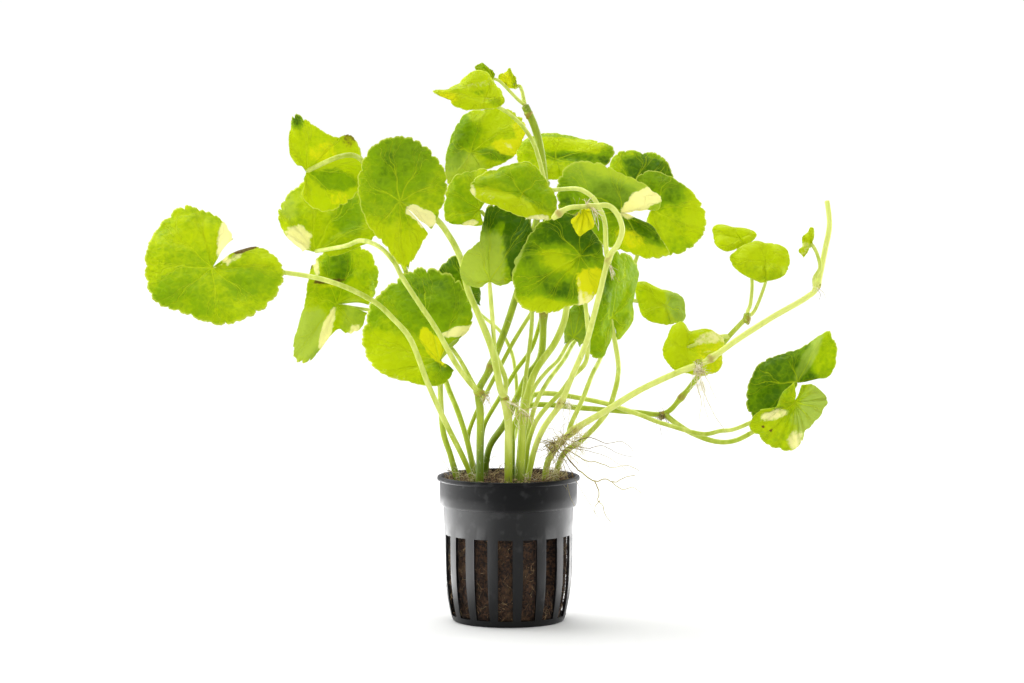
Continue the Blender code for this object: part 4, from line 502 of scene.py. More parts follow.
def apply_modifier(thing, kind, **settings):
    modifier = thing.modifiers.new(kind, kind)
    for key, value in settings.items():
        setattr(modifier, key, value)
    pick(thing)
    bpy.ops.object.modifier_apply(modifier=modifier.name)


def apply_place(thing):
    pick(thing)
    bpy.ops.object.transform_apply(location=True, rotation=True, scale=True)


def name_piece(thing, name, finish):
    thing.name = name
    thing.data.name = name
    thing.data.materials.clear()
    thing.data.materials.append(finish)
    return thing


def settle(thing, nodes=()):
    """Puts a finished piece on the plant's body, in place of its plain solids."""
    apply_place(thing)
    bpy.ops.object.shade_smooth()
    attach(thing, "root")
    if nodes:
        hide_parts(*nodes)
    deselect()


def join(pieces, name):
    pick(pieces[0])
    for piece in pieces[1:]:
        piece.select_set(True)
    bpy.ops.object.join()
    pieces[0].name = name
    return pieces[0]


def sight(x, z, depth):
    """The point at a depth on the line of sight through a place on the front plane."""
    on_plane = Vector((x, 0.0, z)) * MM
    reach = (depth * MM - EYE.y) / -EYE.y
    return EYE + (on_plane - EYE) * reach


def curve_between(start, leaving, end, arriving, step):
    """Places on the smooth curve from start to end, with its directions at both ends."""
    square = step * step
    cube = square * step
    return (start * (2 * cube - 3 * square + 1) + leaving * (cube - 2 * square + step)
            + end * (3 * square - 2 * cube) + arriving * (cube - square))


def through(points, place):
    """A smooth curve through an array of points, read at an array of places."""
    points = np.asarray(points, float)
    last = len(points) - 1
    index = np.clip(place.astype(int), 0, last - 1)
    step = (place - index)[..., None]
    before = points[np.maximum(index - 1, 0)]
    start = points[index]
    end = points[index + 1]
    after = points[np.minimum(index + 2, last)]
    return curve_between(start, (end - before) / 2, end, (after - start) / 2, step)


def smooth_step(value, low, high):
    share = np.clip((value - low) / (high - low), 0.0, 1.0)
    return share * share * (3.0 - 2.0 * share)


def grid_sheet(across, along):
    """A flat grid as a new piece, with each corner's place across and along as 0 to 1."""
    deselect()
    bpy.ops.mesh.primitive_grid_add(x_subdivisions=across, y_subdivisions=along, size=1.0)
    sheet = bpy.context.object
    flat = np.empty(len(sheet.data.vertices) * 3)
    sheet.data.vertices.foreach_get("co", flat)
    flat = flat.reshape(-1, 3)
    return sheet, flat[:, 0] + 0.5, flat[:, 1] + 0.5


def set_places(thing, places):
    thing.data.vertices.foreach_set("co", np.asarray(places, float).ravel())
    thing.data.update()


def note_values(thing, name, values):
    """Keeps one number for each corner, for the materials to read."""
    notes = thing.data.attributes.new(name, "FLOAT", "POINT")
    notes.data.foreach_set("value", np.asarray(values, float))


def cloudiness(places, size, seed):
    """Soft noise from -1 to 1 at each place, in blotches of the given size."""
    shift = Vector((seed * 3.7, seed * 1.3, seed * 2.1))
    return np.array([noise.noise(Vector(place) / size + shift) for place in places])


def shake(seed, steps, rows):
    """A small push to one side that changes smoothly with the steps."""
    return Vector([noise.noise(Vector((seed, step, row))) for step, row in zip(steps, rows)])


# Materials. Pattern scales are repeats in a metre, and colours are linear red, green and blue.
LIME = (0.63, 0.74, 0.001)
MID_GREEN = (0.28, 0.46, 0.001)
DEEP_GREEN = (0.050, 0.150, 0.001)
CREAM = (0.97, 0.94, 0.50)
GOLD = (0.92, 0.88, 0.006)
BRUISE = (0.16, 0.08, 0.015)
PALE_BACK = (0.52, 0.64, 0.12)
VEIN_PALE = (0.74, 0.85, 0.016)
# The pale rim is partly the blade's pale margin and partly a painted highlight along its edge.
PALE_RIM_AND_HIGHLIGHT = (0.86, 0.90, 0.16)
STEM_PALE = (0.70, 0.76, 0.18)
STEM_GREEN = (0.38, 0.48, 0.02)
STEM_DEEP = (0.11, 0.18, 0.004)
STEM_FLECK = (0.90, 0.92, 0.45)
NODE_BROWN = (0.30, 0.17, 0.03)
POT_BLACKS = ((0.0012, 0.0013, 0.0015), (0.0034, 0.0036, 0.0040))
WATER_MARK = (0.20, 0.20, 0.20)
FIBRE_BROWNS = ((0.008, 0.0035, 0.002), (0.085, 0.040, 0.017))
FIBRE_TAN = (0.17, 0.10, 0.045)
LOOSE_FIBRE_TONES = ((0.016, 0.006, 0.003), (0.15, 0.075, 0.034), (0.62, 0.48, 0.24))
FINE_ROOT_TONES = ((0.08, 0.04, 0.010), (0.52, 0.44, 0.13), (1.0, 0.97, 0.76))
FLOOR_NEAR = ((0.684, 0.684, 0.687), (0.690, 0.690, 0.691))
FLOOR_FAR = (0.73, 0.73, 0.73)

FORK_START = 0.30                    # places on a blade from its heart at 0 to its rim at 1
TWIG_START = 0.58
VEIN_SPREAD = 0.42                   # how fast a fork leaves the vein that it grows from
NET_SCALE = 430.0
VEIN_AMOUNT = 0.56
LIGHT_THROUGH = 0.45                 # share of a blade's light that comes through it
ALONG_STEMS = (1.0, 1.0, 0.10)       # a pattern's stretch along upright stems
DOWN_THE_POT = (1.0, 1.0, 0.05)


class Nodes:
    """Short ways to add the nodes of a tree and join them."""

    def __init__(self, tree):
        self.tree = tree

    def node(self, kind, **settings):
        made = self.tree.nodes.new(kind)
        for key, value in settings.items():
            setattr(made, key, value)
        return made

    def feed(self, socket, value):
        if isinstance(value, bpy.types.NodeSocket):
            self.tree.links.new(value, socket)
        elif isinstance(value, tuple) and len(value) == 3 and socket.type == "RGBA":
            socket.default_value = (*value, 1.0)
        else:
            socket.default_value = value

    def note(self, name):
        """A number that note_values keeps for each corner."""
        return self.node("ShaderNodeAttribute", attribute_name=name).outputs["Fac"]

    def place(self, kind="Object"):
        return self.node("ShaderNodeTexCoord").outputs[kind]

    def parts(self, value):
        """The x, y and z of a place."""
        made = self.node("ShaderNodeSeparateXYZ")
        self.feed(made.inputs[0], value)
        return made.outputs

    def maths(self, kind, *values, clamp=False):
        made = self.node("ShaderNodeMath", operation=kind, use_clamp=clamp)
        for socket, value in zip(made.inputs, values):
            self.feed(socket, value)
        return made.outputs[0]

    def times(self, first, second):
        return self.maths("MULTIPLY", first, second)

    def plus(self, first, second, clamp=False):
        return self.maths("ADD", first, second, clamp=clamp)

    def minus(self, first, second):
        return self.maths("SUBTRACT", first, second)

    def add_share(self, value, share, total, clamp=False):
        """The total with a share of the value added."""
        return self.maths("MULTIPLY_ADD", value, share, total, clamp=clamp)

    def centred(self, value):
        return self.minus(value, 0.5)

    def span(self, value, low, high, start=0.0, end=1.0, smooth=True):
        """Start at low and below, end at high and above, and a smooth or even way between."""
        made = self.node("ShaderNodeMapRange")
        made.interpolation_type = "SMOOTHSTEP" if smooth else "LINEAR"
        for socket, given in zip(made.inputs[:5], (value, low, high, start, end)):
            self.feed(socket, given)
        return made.outputs[0]

    def mix(self, share, first, second):
        made = self.node("ShaderNodeMix", data_type="RGBA")
        self.feed(made.inputs[0], share)
        self.feed(made.inputs[6], first)
        self.feed(made.inputs[7], second)
        return made.outputs[2]

    def speckle(self, scale, detail=2.0, roughness=0.5, stretch=None):
        place = self.place()
        if stretch:
            mapping = self.node("ShaderNodeMapping")
            self.feed(mapping.inputs["Vector"], place)
            mapping.inputs["Scale"].default_value = stretch
            place = mapping.outputs[0]
        made = self.node("ShaderNodeTexNoise")
        self.feed(made.inputs["Vector"], place)
        made.inputs["Scale"].default_value = scale
        made.inputs["Detail"].default_value = detail
        made.inputs["Roughness"].default_value = roughness
        return made.outputs["Fac"]

    def cells(self, scale):
        """How far a place is from the nearest border of a net of cells."""
        made = self.node("ShaderNodeTexVoronoi", feature="DISTANCE_TO_EDGE")
        self.feed(made.inputs["Vector"], self.place())
        made.inputs["Scale"].default_value = scale
        return made.outputs["Distance"]


class Finish(Nodes):
    """A material under construction."""

    def __init__(self, name, roughness):
        self.material = bpy.data.materials.new(name)
        self.material.use_nodes = True
        super().__init__(self.material.node_tree)
        self.shader = self.tree.nodes["Principled BSDF"]
        self.roughness(roughness)

    def colour(self, value):
        self.feed(self.shader.inputs["Base Color"], value)

    def roughness(self, value):
        self.feed(self.shader.inputs["Roughness"], value)

    def shine(self, value):
        self.feed(self.shader.inputs["Specular IOR Level"], value)

    def bump(self, height, distance, strength):
        made = self.node("ShaderNodeBump")
        made.inputs["Distance"].default_value = distance
        made.inputs["Strength"].default_value = strength
        self.feed(made.inputs["Height"], height)
        self.feed(self.shader.inputs["Normal"], made.outputs[0])
        return made.outputs[0]

    def see_through(self, share, colour, normal):
        """Lets light come through a thin blade."""
        glow = self.node("ShaderNodeBsdfTranslucent")
        self.feed(glow.inputs["Color"], colour)
        self.feed(glow.inputs["Normal"], normal)
        blend = self.node("ShaderNodeMixShader")
        for socket, value in zip(blend.inputs, (share, self.shader.outputs[0], glow.outputs[0])):
            self.feed(socket, value)
        self.feed(self.tree.nodes["Material Output"].inputs[0], blend.outputs[0])


def vein_line(finish, phase, gap, centre_shift, width):
    """How strongly a place lies on a vein that runs centre_shift beside each main one."""
    offset = finish.maths("ABSOLUTE", finish.centred(finish.maths("FRACT", phase)))
    far = finish.maths("ABSOLUTE", finish.minus(offset, centre_shift))
    return finish.span(finish.times(far, gap), 0.0, width, 1.0, 0.0)


def blade_veins(finish, out, quilt):
    """Main veins that fork twice on their way out, and a fine net between them."""
    gap = finish.note("vein_gap")
    waver = finish.times(finish.centred(finish.speckle(190.0, 4.0)), 0.30)
    phase = finish.plus(finish.note("vein_phase"), waver)
    main = vein_line(finish, phase, gap, 0.0, finish.span(out, 0.0, 1.0, 0.46, 0.16))
    fork_reach = finish.maths("MAXIMUM", finish.minus(out, FORK_START), 0.0)
    fork_shift = finish.times(fork_reach, VEIN_SPREAD)
    fork = vein_line(finish, phase, gap, fork_shift, 0.17)
    fork = finish.times(fork, finish.span(out, FORK_START - 0.02, FORK_START + 0.08, 0.0, 0.85))
    twig_reach = finish.maths("MAXIMUM", finish.minus(out, TWIG_START), 0.0)
    twig_shift = finish.add_share(twig_reach, -VEIN_SPREAD, fork_shift)
    twig = vein_line(finish, phase, gap, twig_shift, 0.13)
    twig = finish.times(twig, finish.span(out, TWIG_START, TWIG_START + 0.10, 0.0, 0.7))
    net = finish.span(quilt, 0.0, 0.10, 0.16, 0.0)
    net = finish.times(net, finish.span(finish.speckle(240.0), 0.35, 0.65, 0.3, 1.0))
    return finish.maths("MAXIMUM", finish.maths("MAXIMUM", main, fork), finish.maths("MAXIMUM", twig, net))


def frayed(finish, name):
    """A patch whose soft border is broken up into a fine ragged edge."""
    loose = finish.centred(finish.speckle(520.0, 5.0, 0.7))
    return finish.span(finish.add_share(loose, 0.9, finish.note(name)), 0.30, 0.66)


def leaf_finish():
    """Green blades with pale veins, turned-over pale backs, cream, gold and brown patches, painted shade,
    painted highlights, and a pale rim that is partly a painted highlight.
    """
    finish = Finish("leaf blade", 0.45)
    out = finish.note("out")
    quilt = finish.cells(NET_SCALE)
    veins = blade_veins(finish, out, quilt)
    blotch = finish.centred(finish.speckle(75.0, 4.0, 0.6))
    grain = finish.centred(finish.speckle(420.0, 5.0, 0.65))
    # The dark note darkens the tone with the blade's own tone and with painted shade.
    tone = finish.add_share(blotch, 0.75, finish.note("dark"))
    tone = finish.add_share(grain, 0.62, tone)
    tone = finish.plus(tone, finish.span(quilt, 0.0, 0.35, -0.03, 0.03))
    # The light note lightens the tone where highlights are painted.
    tone = finish.add_share(finish.note("light"), -0.55, tone, clamp=True)
    green = finish.mix(finish.span(tone, 0.0, 0.5), LIME, MID_GREEN)
    green = finish.mix(finish.span(tone, 0.45, 1.0), green, DEEP_GREEN)
    # A pale band along the rim, partly the blade's pale margin and partly a painted highlight.
    green = finish.mix(finish.span(out, 0.955, 1.0, 0.0, 0.75), green, PALE_RIM_AND_HIGHLIGHT)
    green = finish.mix(frayed(finish, "gold"), green, GOLD)
    turned_over = finish.maths("ABSOLUTE", finish.minus(finish.note("under"), finish.note("back")))
    pale_green = finish.mix(finish.span(tone, 0.2, 1.0, 0.0, 0.6), PALE_BACK, MID_GREEN)
    colour = finish.mix(finish.times(turned_over, 0.9), green, pale_green)
    colour = finish.mix(finish.times(veins, VEIN_AMOUNT), colour, VEIN_PALE)
    glow = finish.mix(0.25, colour, LIME)
    cream = frayed(finish, "cream")
    brown = finish.times(frayed(finish, "brown"), 0.9)
    finish.colour(finish.mix(brown, finish.mix(cream, colour, CREAM), BRUISE))
    rough = finish.span(finish.speckle(500.0), 0.3, 0.7, 0.36, 0.52)
    finish.roughness(finish.add_share(turned_over, 0.12, rough))
    finish.shine(0.12)
    height = finish.minus(finish.times(finish.speckle(480.0, 3.0), 0.8), veins)
    height = finish.plus(height, finish.span(quilt, 0.0, 0.4, 0.0, 0.5))
    normal = finish.bump(height, 0.26 * MM, 0.8)
    glow = finish.mix(brown, finish.mix(cream, glow, CREAM), BRUISE)
    finish.see_through(LIGHT_THROUGH, glow, normal)
    return finish.material


def stem_finish():
    """Pale lime stems with fine lengthwise streaks, darker towards their foot, and brown nodes."""
    finish = Finish("stem flesh", 0.38)
    streak = finish.speckle(420.0, stretch=ALONG_STEMS)
    fleck = finish.speckle(900.0)
    shade = finish.add_share(finish.centred(streak), 0.55, finish.note("tone"))
    shade = finish.add_share(finish.centred(finish.speckle(60.0)), 0.45, shade, clamp=True)
    colour = finish.mix(finish.span(shade, 0.0, 0.45), STEM_PALE, STEM_GREEN)
    colour = finish.mix(finish.span(shade, 0.45, 1.0), colour, STEM_DEEP)
    colour = finish.mix(finish.span(fleck, 0.62, 0.75, 0.0, 0.25), colour, STEM_FLECK)
    brown = finish.times(finish.note("node"), finish.span(finish.speckle(420.0, 3.0), 0.38, 0.62))
    finish.colour(finish.mix(finish.times(brown, 0.7), colour, NODE_BROWN))
    finish.shine(0.35)
    finish.shader.inputs["Subsurface Weight"].default_value = 0.15
    finish.shader.inputs["Subsurface Radius"].default_value = (0.6, 0.8, 0.2)
    finish.shader.inputs["Subsurface Scale"].default_value = 1.2 * MM
    finish.roughness(finish.span(streak, 0.3, 0.7, 0.30, 0.48))
    finish.bump(finish.plus(streak, finish.times(fleck, 0.4)), 0.08 * MM, 0.6)
    return finish.material


def pot_finish():
    """Black moulded plastic with faint flow marks and dried water marks, duller on its collar."""
    finish = Finish("pot plastic", 0.25)
    cloud = finish.speckle(90.0, 4.0)
    mark = finish.span(finish.speckle(230.0, 5.0), 0.56, 0.70)
    colour = finish.mix(cloud, *POT_BLACKS)
    finish.colour(finish.mix(finish.times(mark, 0.06), colour, WATER_MARK))
    rough = finish.span(cloud, 0.3, 0.7, 0.36, 0.44)
    finish.roughness(finish.plus(rough, finish.times(mark, 0.08)))
    height = finish.parts(finish.place())["Z"]
    finish.shine(finish.span(height, COLLAR_FOOT, COLLAR_FOOT + 1.5 * MM, 0.26, 0.11))
    streak = finish.speckle(420.0, stretch=DOWN_THE_POT)
    finish.bump(finish.plus(finish.times(streak, 0.5), finish.speckle(1100.0)), 0.05 * MM, 0.35)
    return finish.material


def fibre_finish():
    """Damp brown fibre, from near black to tan."""
    finish = Finish("plug fibre", 0.9)
    grain = finish.speckle(900.0, 4.0, 0.7)
    colour = finish.mix(finish.span(grain, 0.40, 0.66), *FIBRE_BROWNS)
    tan = finish.span(finish.speckle(160.0, 3.0), 0.52, 0.72, 0.0, 0.4)
    finish.colour(finish.mix(tan, colour, FIBRE_TAN))
    finish.bump(grain, 0.5 * MM, 1.0)
    return finish.material


def strand_finish(name, tones, roughness):
    """Thin strands, each with its own tone, flecked along their length."""
    finish = Finish(name, roughness)
    dark, middle, light = tones
    fleck = finish.times(finish.centred(finish.speckle(600.0)), 0.7)
    tone = finish.plus(finish.note("tone"), fleck, clamp=True)
    half = finish.mix(finish.span(tone, 0.0, 0.5, smooth=False), dark, middle)
    finish.colour(finish.mix(finish.span(tone, 0.5, 1.0, smooth=False), half, light))
    return finish.material


def floor_finish():
    """A plain pale floor, painted a little brighter far from the pot as painted light, which keeps the far
    floor as white as the sky.
    """
    finish = Finish("pale floor", 0.55)
    near = finish.mix(finish.speckle(35.0, 3.0), *FLOOR_NEAR)
    distance = finish.node("ShaderNodeVectorMath", operation="LENGTH")
    finish.feed(distance.inputs[0], finish.place())
    # Painted light: the floor's colour grows brighter with distance from the pot.
    finish.colour(finish.mix(finish.span(distance.outputs["Value"], 0.12, 0.9), near, FLOOR_FAR))
    finish.shine(0.0)
    return finish.material


# Leaf blades
BLADE_THICKNESS = 0.36 * MM
BULGE = 1.5 * MM                     # how far the blade's shoulder stands out to the front
SHOULDER = 0.6                       # how far out the shoulder lies
COLUMN_WIDTH = 0.5 * MM
ROW_WIDTH = 3.2 * MM
SCALLOP_LENGTH = 4.6 * MM            # one lobe of the crenate rim
SCALLOP_DEPTH = 0.060                # share of the blade's reach
TOOTH_DEPTH = 0.018
TEETH_IN_A_SCALLOP = 2.7
VEIN_GAP = 17.0 * MM                 # between main veins at the rim
PUCKER = 0.34 * MM
FINE_WAVES = (0.42 * MM, 4.2 * MM)   # height and size
BROAD_WAVES = (1.3 * MM, 13.0 * MM)
RIM_WAVES = 3.6
# light patches are painted highlights and dark patches are painted shade
PATCH_KINDS = ("cream", "gold", "light", "dark", "brown", "back")


def blade_sheet(leaf, u, v):
    """A blade's middle surface at each place u along the rim and v out from the heart."""
    heart_x, heart_z, heart_depth = leaf["heart"]
    slope_x, slope_z = leaf["slope"]

    def spot(dx, dz, extra=0.0):
        depth = heart_depth + slope_x * dx + slope_z * dz + extra
        return np.array(sight(heart_x + dx, heart_z + dz, depth))

    heart = spot(0.0, 0.0)
    front = np.array(Vector((slope_x, -1.0, slope_z)).normalized())
    rim = [spot(*place) for place in leaf["rim"]]
    shoulders = [heart + (place - heart) * SHOULDER + front * BULGE for place in rim]
    edge = through(rim, u * (len(rim) - 1))
    shoulder = through(shoulders, u * (len(rim) - 1))
    step = np.where(v <= SHOULDER, v / SHOULDER, (v - SHOULDER) / (1.0 - SHOULDER))[:, None]
    crossing = (edge - heart) * 0.5
    near = curve_between(heart, (shoulder - heart) * 1.05, shoulder, crossing, step)
    far = curve_between(shoulder, crossing, edge, (edge - shoulder) * 0.9, step)
    return heart, np.where((v <= SHOULDER)[:, None], near, far), edge


def sheet_normals(places, u, v):
    """The upward direction at each place of a grid of places."""
    order = np.lexsort((u, v))
    wide = len(np.unique(np.round(u, 6)))
    grid = places[order].reshape(-1, wide, 3)
    turned = np.cross(np.gradient(grid, axis=1), np.gradient(grid, axis=0))
    length = np.linalg.norm(turned, axis=2, keepdims=True)
    length[length == 0.0] = 1.0
    turned = turned / length
    turned[0] = turned[1].mean(axis=0)
    normals = np.empty_like(places)
    normals[order] = turned.reshape(-1, 3)
    return normals


def rim_drift(u, seed):
    """Two slow wavers along the rim, the same for all places at one u."""
    unique = np.round(u, 6)
    at = {place: (noise.noise(Vector((place * 9.0, seed, 0.5))),
                  noise.noise(Vector((place * 31.0, seed, 5.5)))) for place in set(unique)}
    return np.array([at[place] for place in unique]).T


def scalloped(heart, places, edge, u, v, scallops, slow, quick):
    """Draws the rim in between its lobes and teeth."""
    lobe = np.abs(np.sin(math.pi * (scallops * u + 0.9 * slow))) ** 0.5
    tooth = np.abs(np.sin(math.pi * (scallops * TEETH_IN_A_SCALLOP * u + quick))) ** 0.7
    pull = SCALLOP_DEPTH * (1.0 - lobe) * (0.75 + 0.9 * quick)
    pull = (pull + TOOTH_DEPTH * (1.0 - tooth)) * v ** 6
    return places + (heart - edge) * pull[:, None]


def blade_waves(places, u, v, phase, wave, seed):
    """How high a blade stands at each place: puckers between veins, fine and broad waves."""
    pucker = PUCKER * np.cos(2 * math.pi * phase) * np.minimum(v * 2.0, 1.0) * (1.0 - 0.4 * v)
    fine_height, fine_size = FINE_WAVES
    fine = fine_height * cloudiness(places, fine_size, seed) * np.minimum(v * 3.0, 1.0)
    broad_height, broad_size = BROAD_WAVES
    broad = broad_height * cloudiness(places, broad_size, seed + 5) * v
    rim = wave * MM * v ** 3 * np.sin(2 * math.pi * (RIM_WAVES * u + 0.37 * seed))
    return pucker + fine + broad + rim


def patch_marks(leaf, look, places, seed):
    """How strongly each kind of patch lies on each place, as seen from the front."""
    heart_x, heart_z, _ = leaf["heart"]
    reach = (places[:, 1] - EYE.y) / -EYE.y
    front_x = (EYE.x + (places[:, 0] - EYE.x) / reach) / MM - heart_x
    front_z = (EYE.z + (places[:, 2] - EYE.z) / reach) / MM - heart_z
    ragged = cloudiness(places, 3.6 * MM, 2.0 + seed) * 0.35
    ragged += cloudiness(places, 1.1 * MM, 4.0 + seed) * 0.22
    marks = {kind: np.zeros(len(places)) for kind in PATCH_KINDS}
    # The dark note holds the blade's tone, partly its own colour and partly painted shade, and the dark
    # patches add painted shade; the light patches are painted highlights.
    marks["dark"] += look["tone"]
    for kind in PATCH_KINDS:
        for dx, dz, wide, tall, degrees, amount, soft in look.get(kind, ()):
            turn = math.radians(degrees)
            x = (front_x - dx) * math.cos(turn) + (front_z - dz) * math.sin(turn)
            z = (front_z - dz) * math.cos(turn) - (front_x - dx) * math.sin(turn)
            far = np.sqrt((x / wide) ** 2 + (z / tall) ** 2) + ragged * 0.6
            marks[kind] += amount * (1.0 - smooth_step(far, 1.0 - soft, 1.0 + soft))
    return {kind: np.clip(values, 0.0, 1.0) for kind, values in marks.items()}


def faces_away(sheet, leaf):
    slope_x, slope_z = leaf["slope"]
    total = sum((face.normal * face.area for face in sheet.data.polygons), Vector())
    return total.dot(Vector((slope_x, -1.0, slope_z))) < 0.0


def leaf_blade(name, leaf, look, finish):
    """A thin leaf with a crenate rim, puckered between its veins."""
    leaf = dict(leaf, rim=leaf["rim"] + look.get("closing", ()))
    rim_points = np.array([place[:2] for place in leaf["rim"]]) * MM
    rim_length = np.linalg.norm(np.diff(rim_points, axis=0), axis=1).sum()
    columns = int(max(48, min(300, rim_length / COLUMN_WIDTH)))
    rows = int(max(14, min(42, rim_length / ROW_WIDTH)))
    scallops = max(5, round(rim_length / SCALLOP_LENGTH))
    veins = look.get("veins", max(5, round(rim_length / VEIN_GAP)))
    seed = sum(ord(letter) for letter in name) % 97

    sheet, u, v = grid_sheet(columns, rows)
    heart, places, edge = blade_sheet(leaf, u, v)
    slow, quick = rim_drift(u, seed)
    places = scalloped(heart, places, edge, u, v, scallops, slow, quick)
    phase = u * veins + 0.16 * slow + 0.06 * np.sin(11.0 * v + seed + 9.0 * u)
    height = blade_waves(places, u, v, phase, look.get("wave", 0.7), seed)
    places = places + sheet_normals(places, u, v) * height[:, None]
    set_places(sheet, places)
    for kind, values in patch_marks(leaf, look, places, seed).items():
        note_values(sheet, kind, values)
    note_values(sheet, "vein_phase", phase)
    note_values(sheet, "vein_gap", v * rim_length / veins / MM)
    note_values(sheet, "out", v)
    note_values(sheet, "under", np.zeros(len(u)))
    open_mesh(sheet)
    bpy.ops.mesh.remove_doubles(threshold=WELD)
    close_mesh()
    if faces_away(sheet, leaf):
        open_mesh(sheet)
        bpy.ops.mesh.flip_normals()
        close_mesh()

    upper = len(sheet.data.vertices)
    apply_modifier(sheet, "SOLIDIFY", thickness=BLADE_THICKNESS, offset=0.0)
    under = np.zeros(len(sheet.data.vertices))
    under[upper:] = 1.0
    sheet.data.attributes["under"].data.foreach_set("value", under)
    return name_piece(sheet, name, finish)


# Stems and stalks
STEM_SIDES = 14
STEM_STEP = 0.55 * MM
PLANTED_HEIGHTS = (46.5, 50.0, 52.6)  # of a planted stem's first points, in the plug
NODE_LENGTH = 1.7 * MM
FOOT_GROWTH = 0.12                   # a stem is this much thicker at its foot
FOOT_LENGTH = 2.5 * MM
DARK_FOOT_FADE = (50.0, 13.0)              # the height where a stem's darker foot starts to fade, and over what length
GROWN_FROM_REACH = (0.6 * MM, 16.0 * MM)


def route_points(stem):
    """A stem's own points in space. A planted stem starts upright in the plug."""
    points = []
    if "planted" in stem:
        x, depth = stem["planted"]
        points = [Vector((x * MM, depth * MM, height * MM)) for height in PLANTED_HEIGHTS]
    return points + [sight(*place) for place in stem["route"]]


def stem_tube(name, points, width, finish, taper, swellings, tone):
    """A round stem: a grid rolled up along a smooth route, closed at its ends."""
    points = np.array([tuple(point) for point in points])
    length = np.linalg.norm(np.diff(points, axis=0), axis=1).sum()
    tube, u, v = grid_sheet(STEM_SIDES, int(max(8, length / STEM_STEP)))
    last = len(points) - 1
    spine = through(points, v * last)
    ahead = through(points, np.minimum(v * last + 0.02, last))
    direction = ahead - through(points, np.maximum(v * last - 0.02, 0.0))
    direction /= np.linalg.norm(direction, axis=1, keepdims=True)
    side = np.cross(direction, (0.31, 0.95, 0.12))
    side /= np.linalg.norm(side, axis=1, keepdims=True)
    other = np.cross(direction, side)

    radius = width / 2 * MM * (1.0 - (1.0 - taper) * v)
    swollen = np.zeros(len(v))
    for node_place, growth in swellings:
        bump = np.exp(-((v * last - node_place) * length / last / NODE_LENGTH) ** 2)
        swollen += bump
        radius = radius * (1.0 + growth * bump)
    radius = radius * (1.0 + FOOT_GROWTH * np.exp(-v * length / FOOT_LENGTH))
    around = u * math.tau
    ridges = 1.0 + 0.025 * np.sin(5 * around + 6.0 * v) + 0.02 * np.sin(3 * around)
    lumps = 1.0 + 0.035 * np.sin(v * length / (3.1 * MM)) * np.sin(v * length / (7.7 * MM) + len(name))
    from_tip = np.clip((1.0 - v) * length / (width / 2 * MM), 0.0, 1.0)
    rounding = np.sqrt(1.0 - (1.0 - from_tip) ** 2) * 0.98 + 0.02
    radius = (radius * ridges * lumps * rounding)[:, None]
    set_places(tube, spine + (side * np.cos(around)[:, None] + other * np.sin(around)[:, None]) * radius)

    # A stem grows darker towards its foot, below a given height.
    dark_foot_height, dark_foot_length = DARK_FOOT_FADE
    above = np.maximum(spine[:, 2] / MM - dark_foot_height, 0.0)
    note_values(tube, "tone", np.clip(tone + 0.6 * np.exp(-(above / dark_foot_length) ** 1.5), 0.0, 1.0))
    note_values(tube, "node", np.clip(swollen, 0.0, 1.0))
    open_mesh(tube)
    bpy.ops.mesh.remove_doubles(threshold=WELD)
    bpy.ops.mesh.select_all(action="DESELECT")
    bpy.ops.mesh.select_non_manifold(extend=False)
    bpy.ops.mesh.fill_holes(sides=0)
    bpy.ops.mesh.select_all(action="SELECT")
    bpy.ops.mesh.normals_make_consistent(inside=False)
    close_mesh()
    return name_piece(tube, name, finish)


def grown_from(points, spines):
    """Carries a stalk's lower end back into the nearest stem."""
    start = points[0]
    way = (points[1] - start).normalized()

    def effort(place):
        back = start - place
        return back.length * (1.6 - back.normalized().dot(way))

    nearest = min((Vector(place) for spine in spines for place in spine), key=effort)
    shortest, longest = GROWN_FROM_REACH
    if shortest < (nearest - start).length < longest:
        return [nearest] + points
    return points


def heart_point(leaf, in_front):
    """The place just off the blade's heart where its stalk ends."""
    slope_x, slope_z = leaf["slope"]
    front = Vector((slope_x, -1.0, slope_z)).normalized()
    return sight(*leaf["heart"]) + front * (0.15 if in_front else -0.35) * MM


def stalk_points(stalk, spines):
    points = route_points(stalk)
    return points if "planted" in stalk else grown_from(points, spines)


def make_plant(leaf_look, stem_look):
    """Stems, then stalks, then each blade with the short stalk that is grown into it."""
    spines = []
    for stem in STEMS.values():
        points = np.array([tuple(point) for point in route_points(stem)])
        spines.append(through(points, np.linspace(0.0, len(points) - 1.001, 12 * len(points))))

    def add_tube(node, piece, points, stem, taper, tone):
        tube = stem_tube(piece, points, stem["width"], stem_look, taper, stem.get("swellings", ()), tone)
        settle(tube, (node,))

    for name, stem in STEMS.items():
        piece = name.replace("stem", "runner")
        add_tube(name, piece, route_points(stem), stem, stem.get("taper", 0.8), stem["tone"])
    for name, stalk in STALKS.items():
        points = stalk_points(stalk, spines)
        points[-1] = heart_point(LEAVES[name.replace("stalk", "leaf")], "ends_in_front" in stalk)
        add_tube(name, name.replace("stalk", "petiole"), points, stalk, 0.78, stalk.get("tone", 0.2))
    for name, leaf in LEAVES.items():
        blade = leaf_blade(name.replace("leaf", "blade"), leaf, LOOKS[name], leaf_look)
        settle(blade, (name,))
        if name in GROWN_STALKS:
            stalk = GROWN_STALKS[name]
            points = stalk_points(stalk, spines) + [heart_point(leaf, False)]
            add_tube(name, name.replace("leaf", "petiole"), points, stalk, 0.8, 0.2)


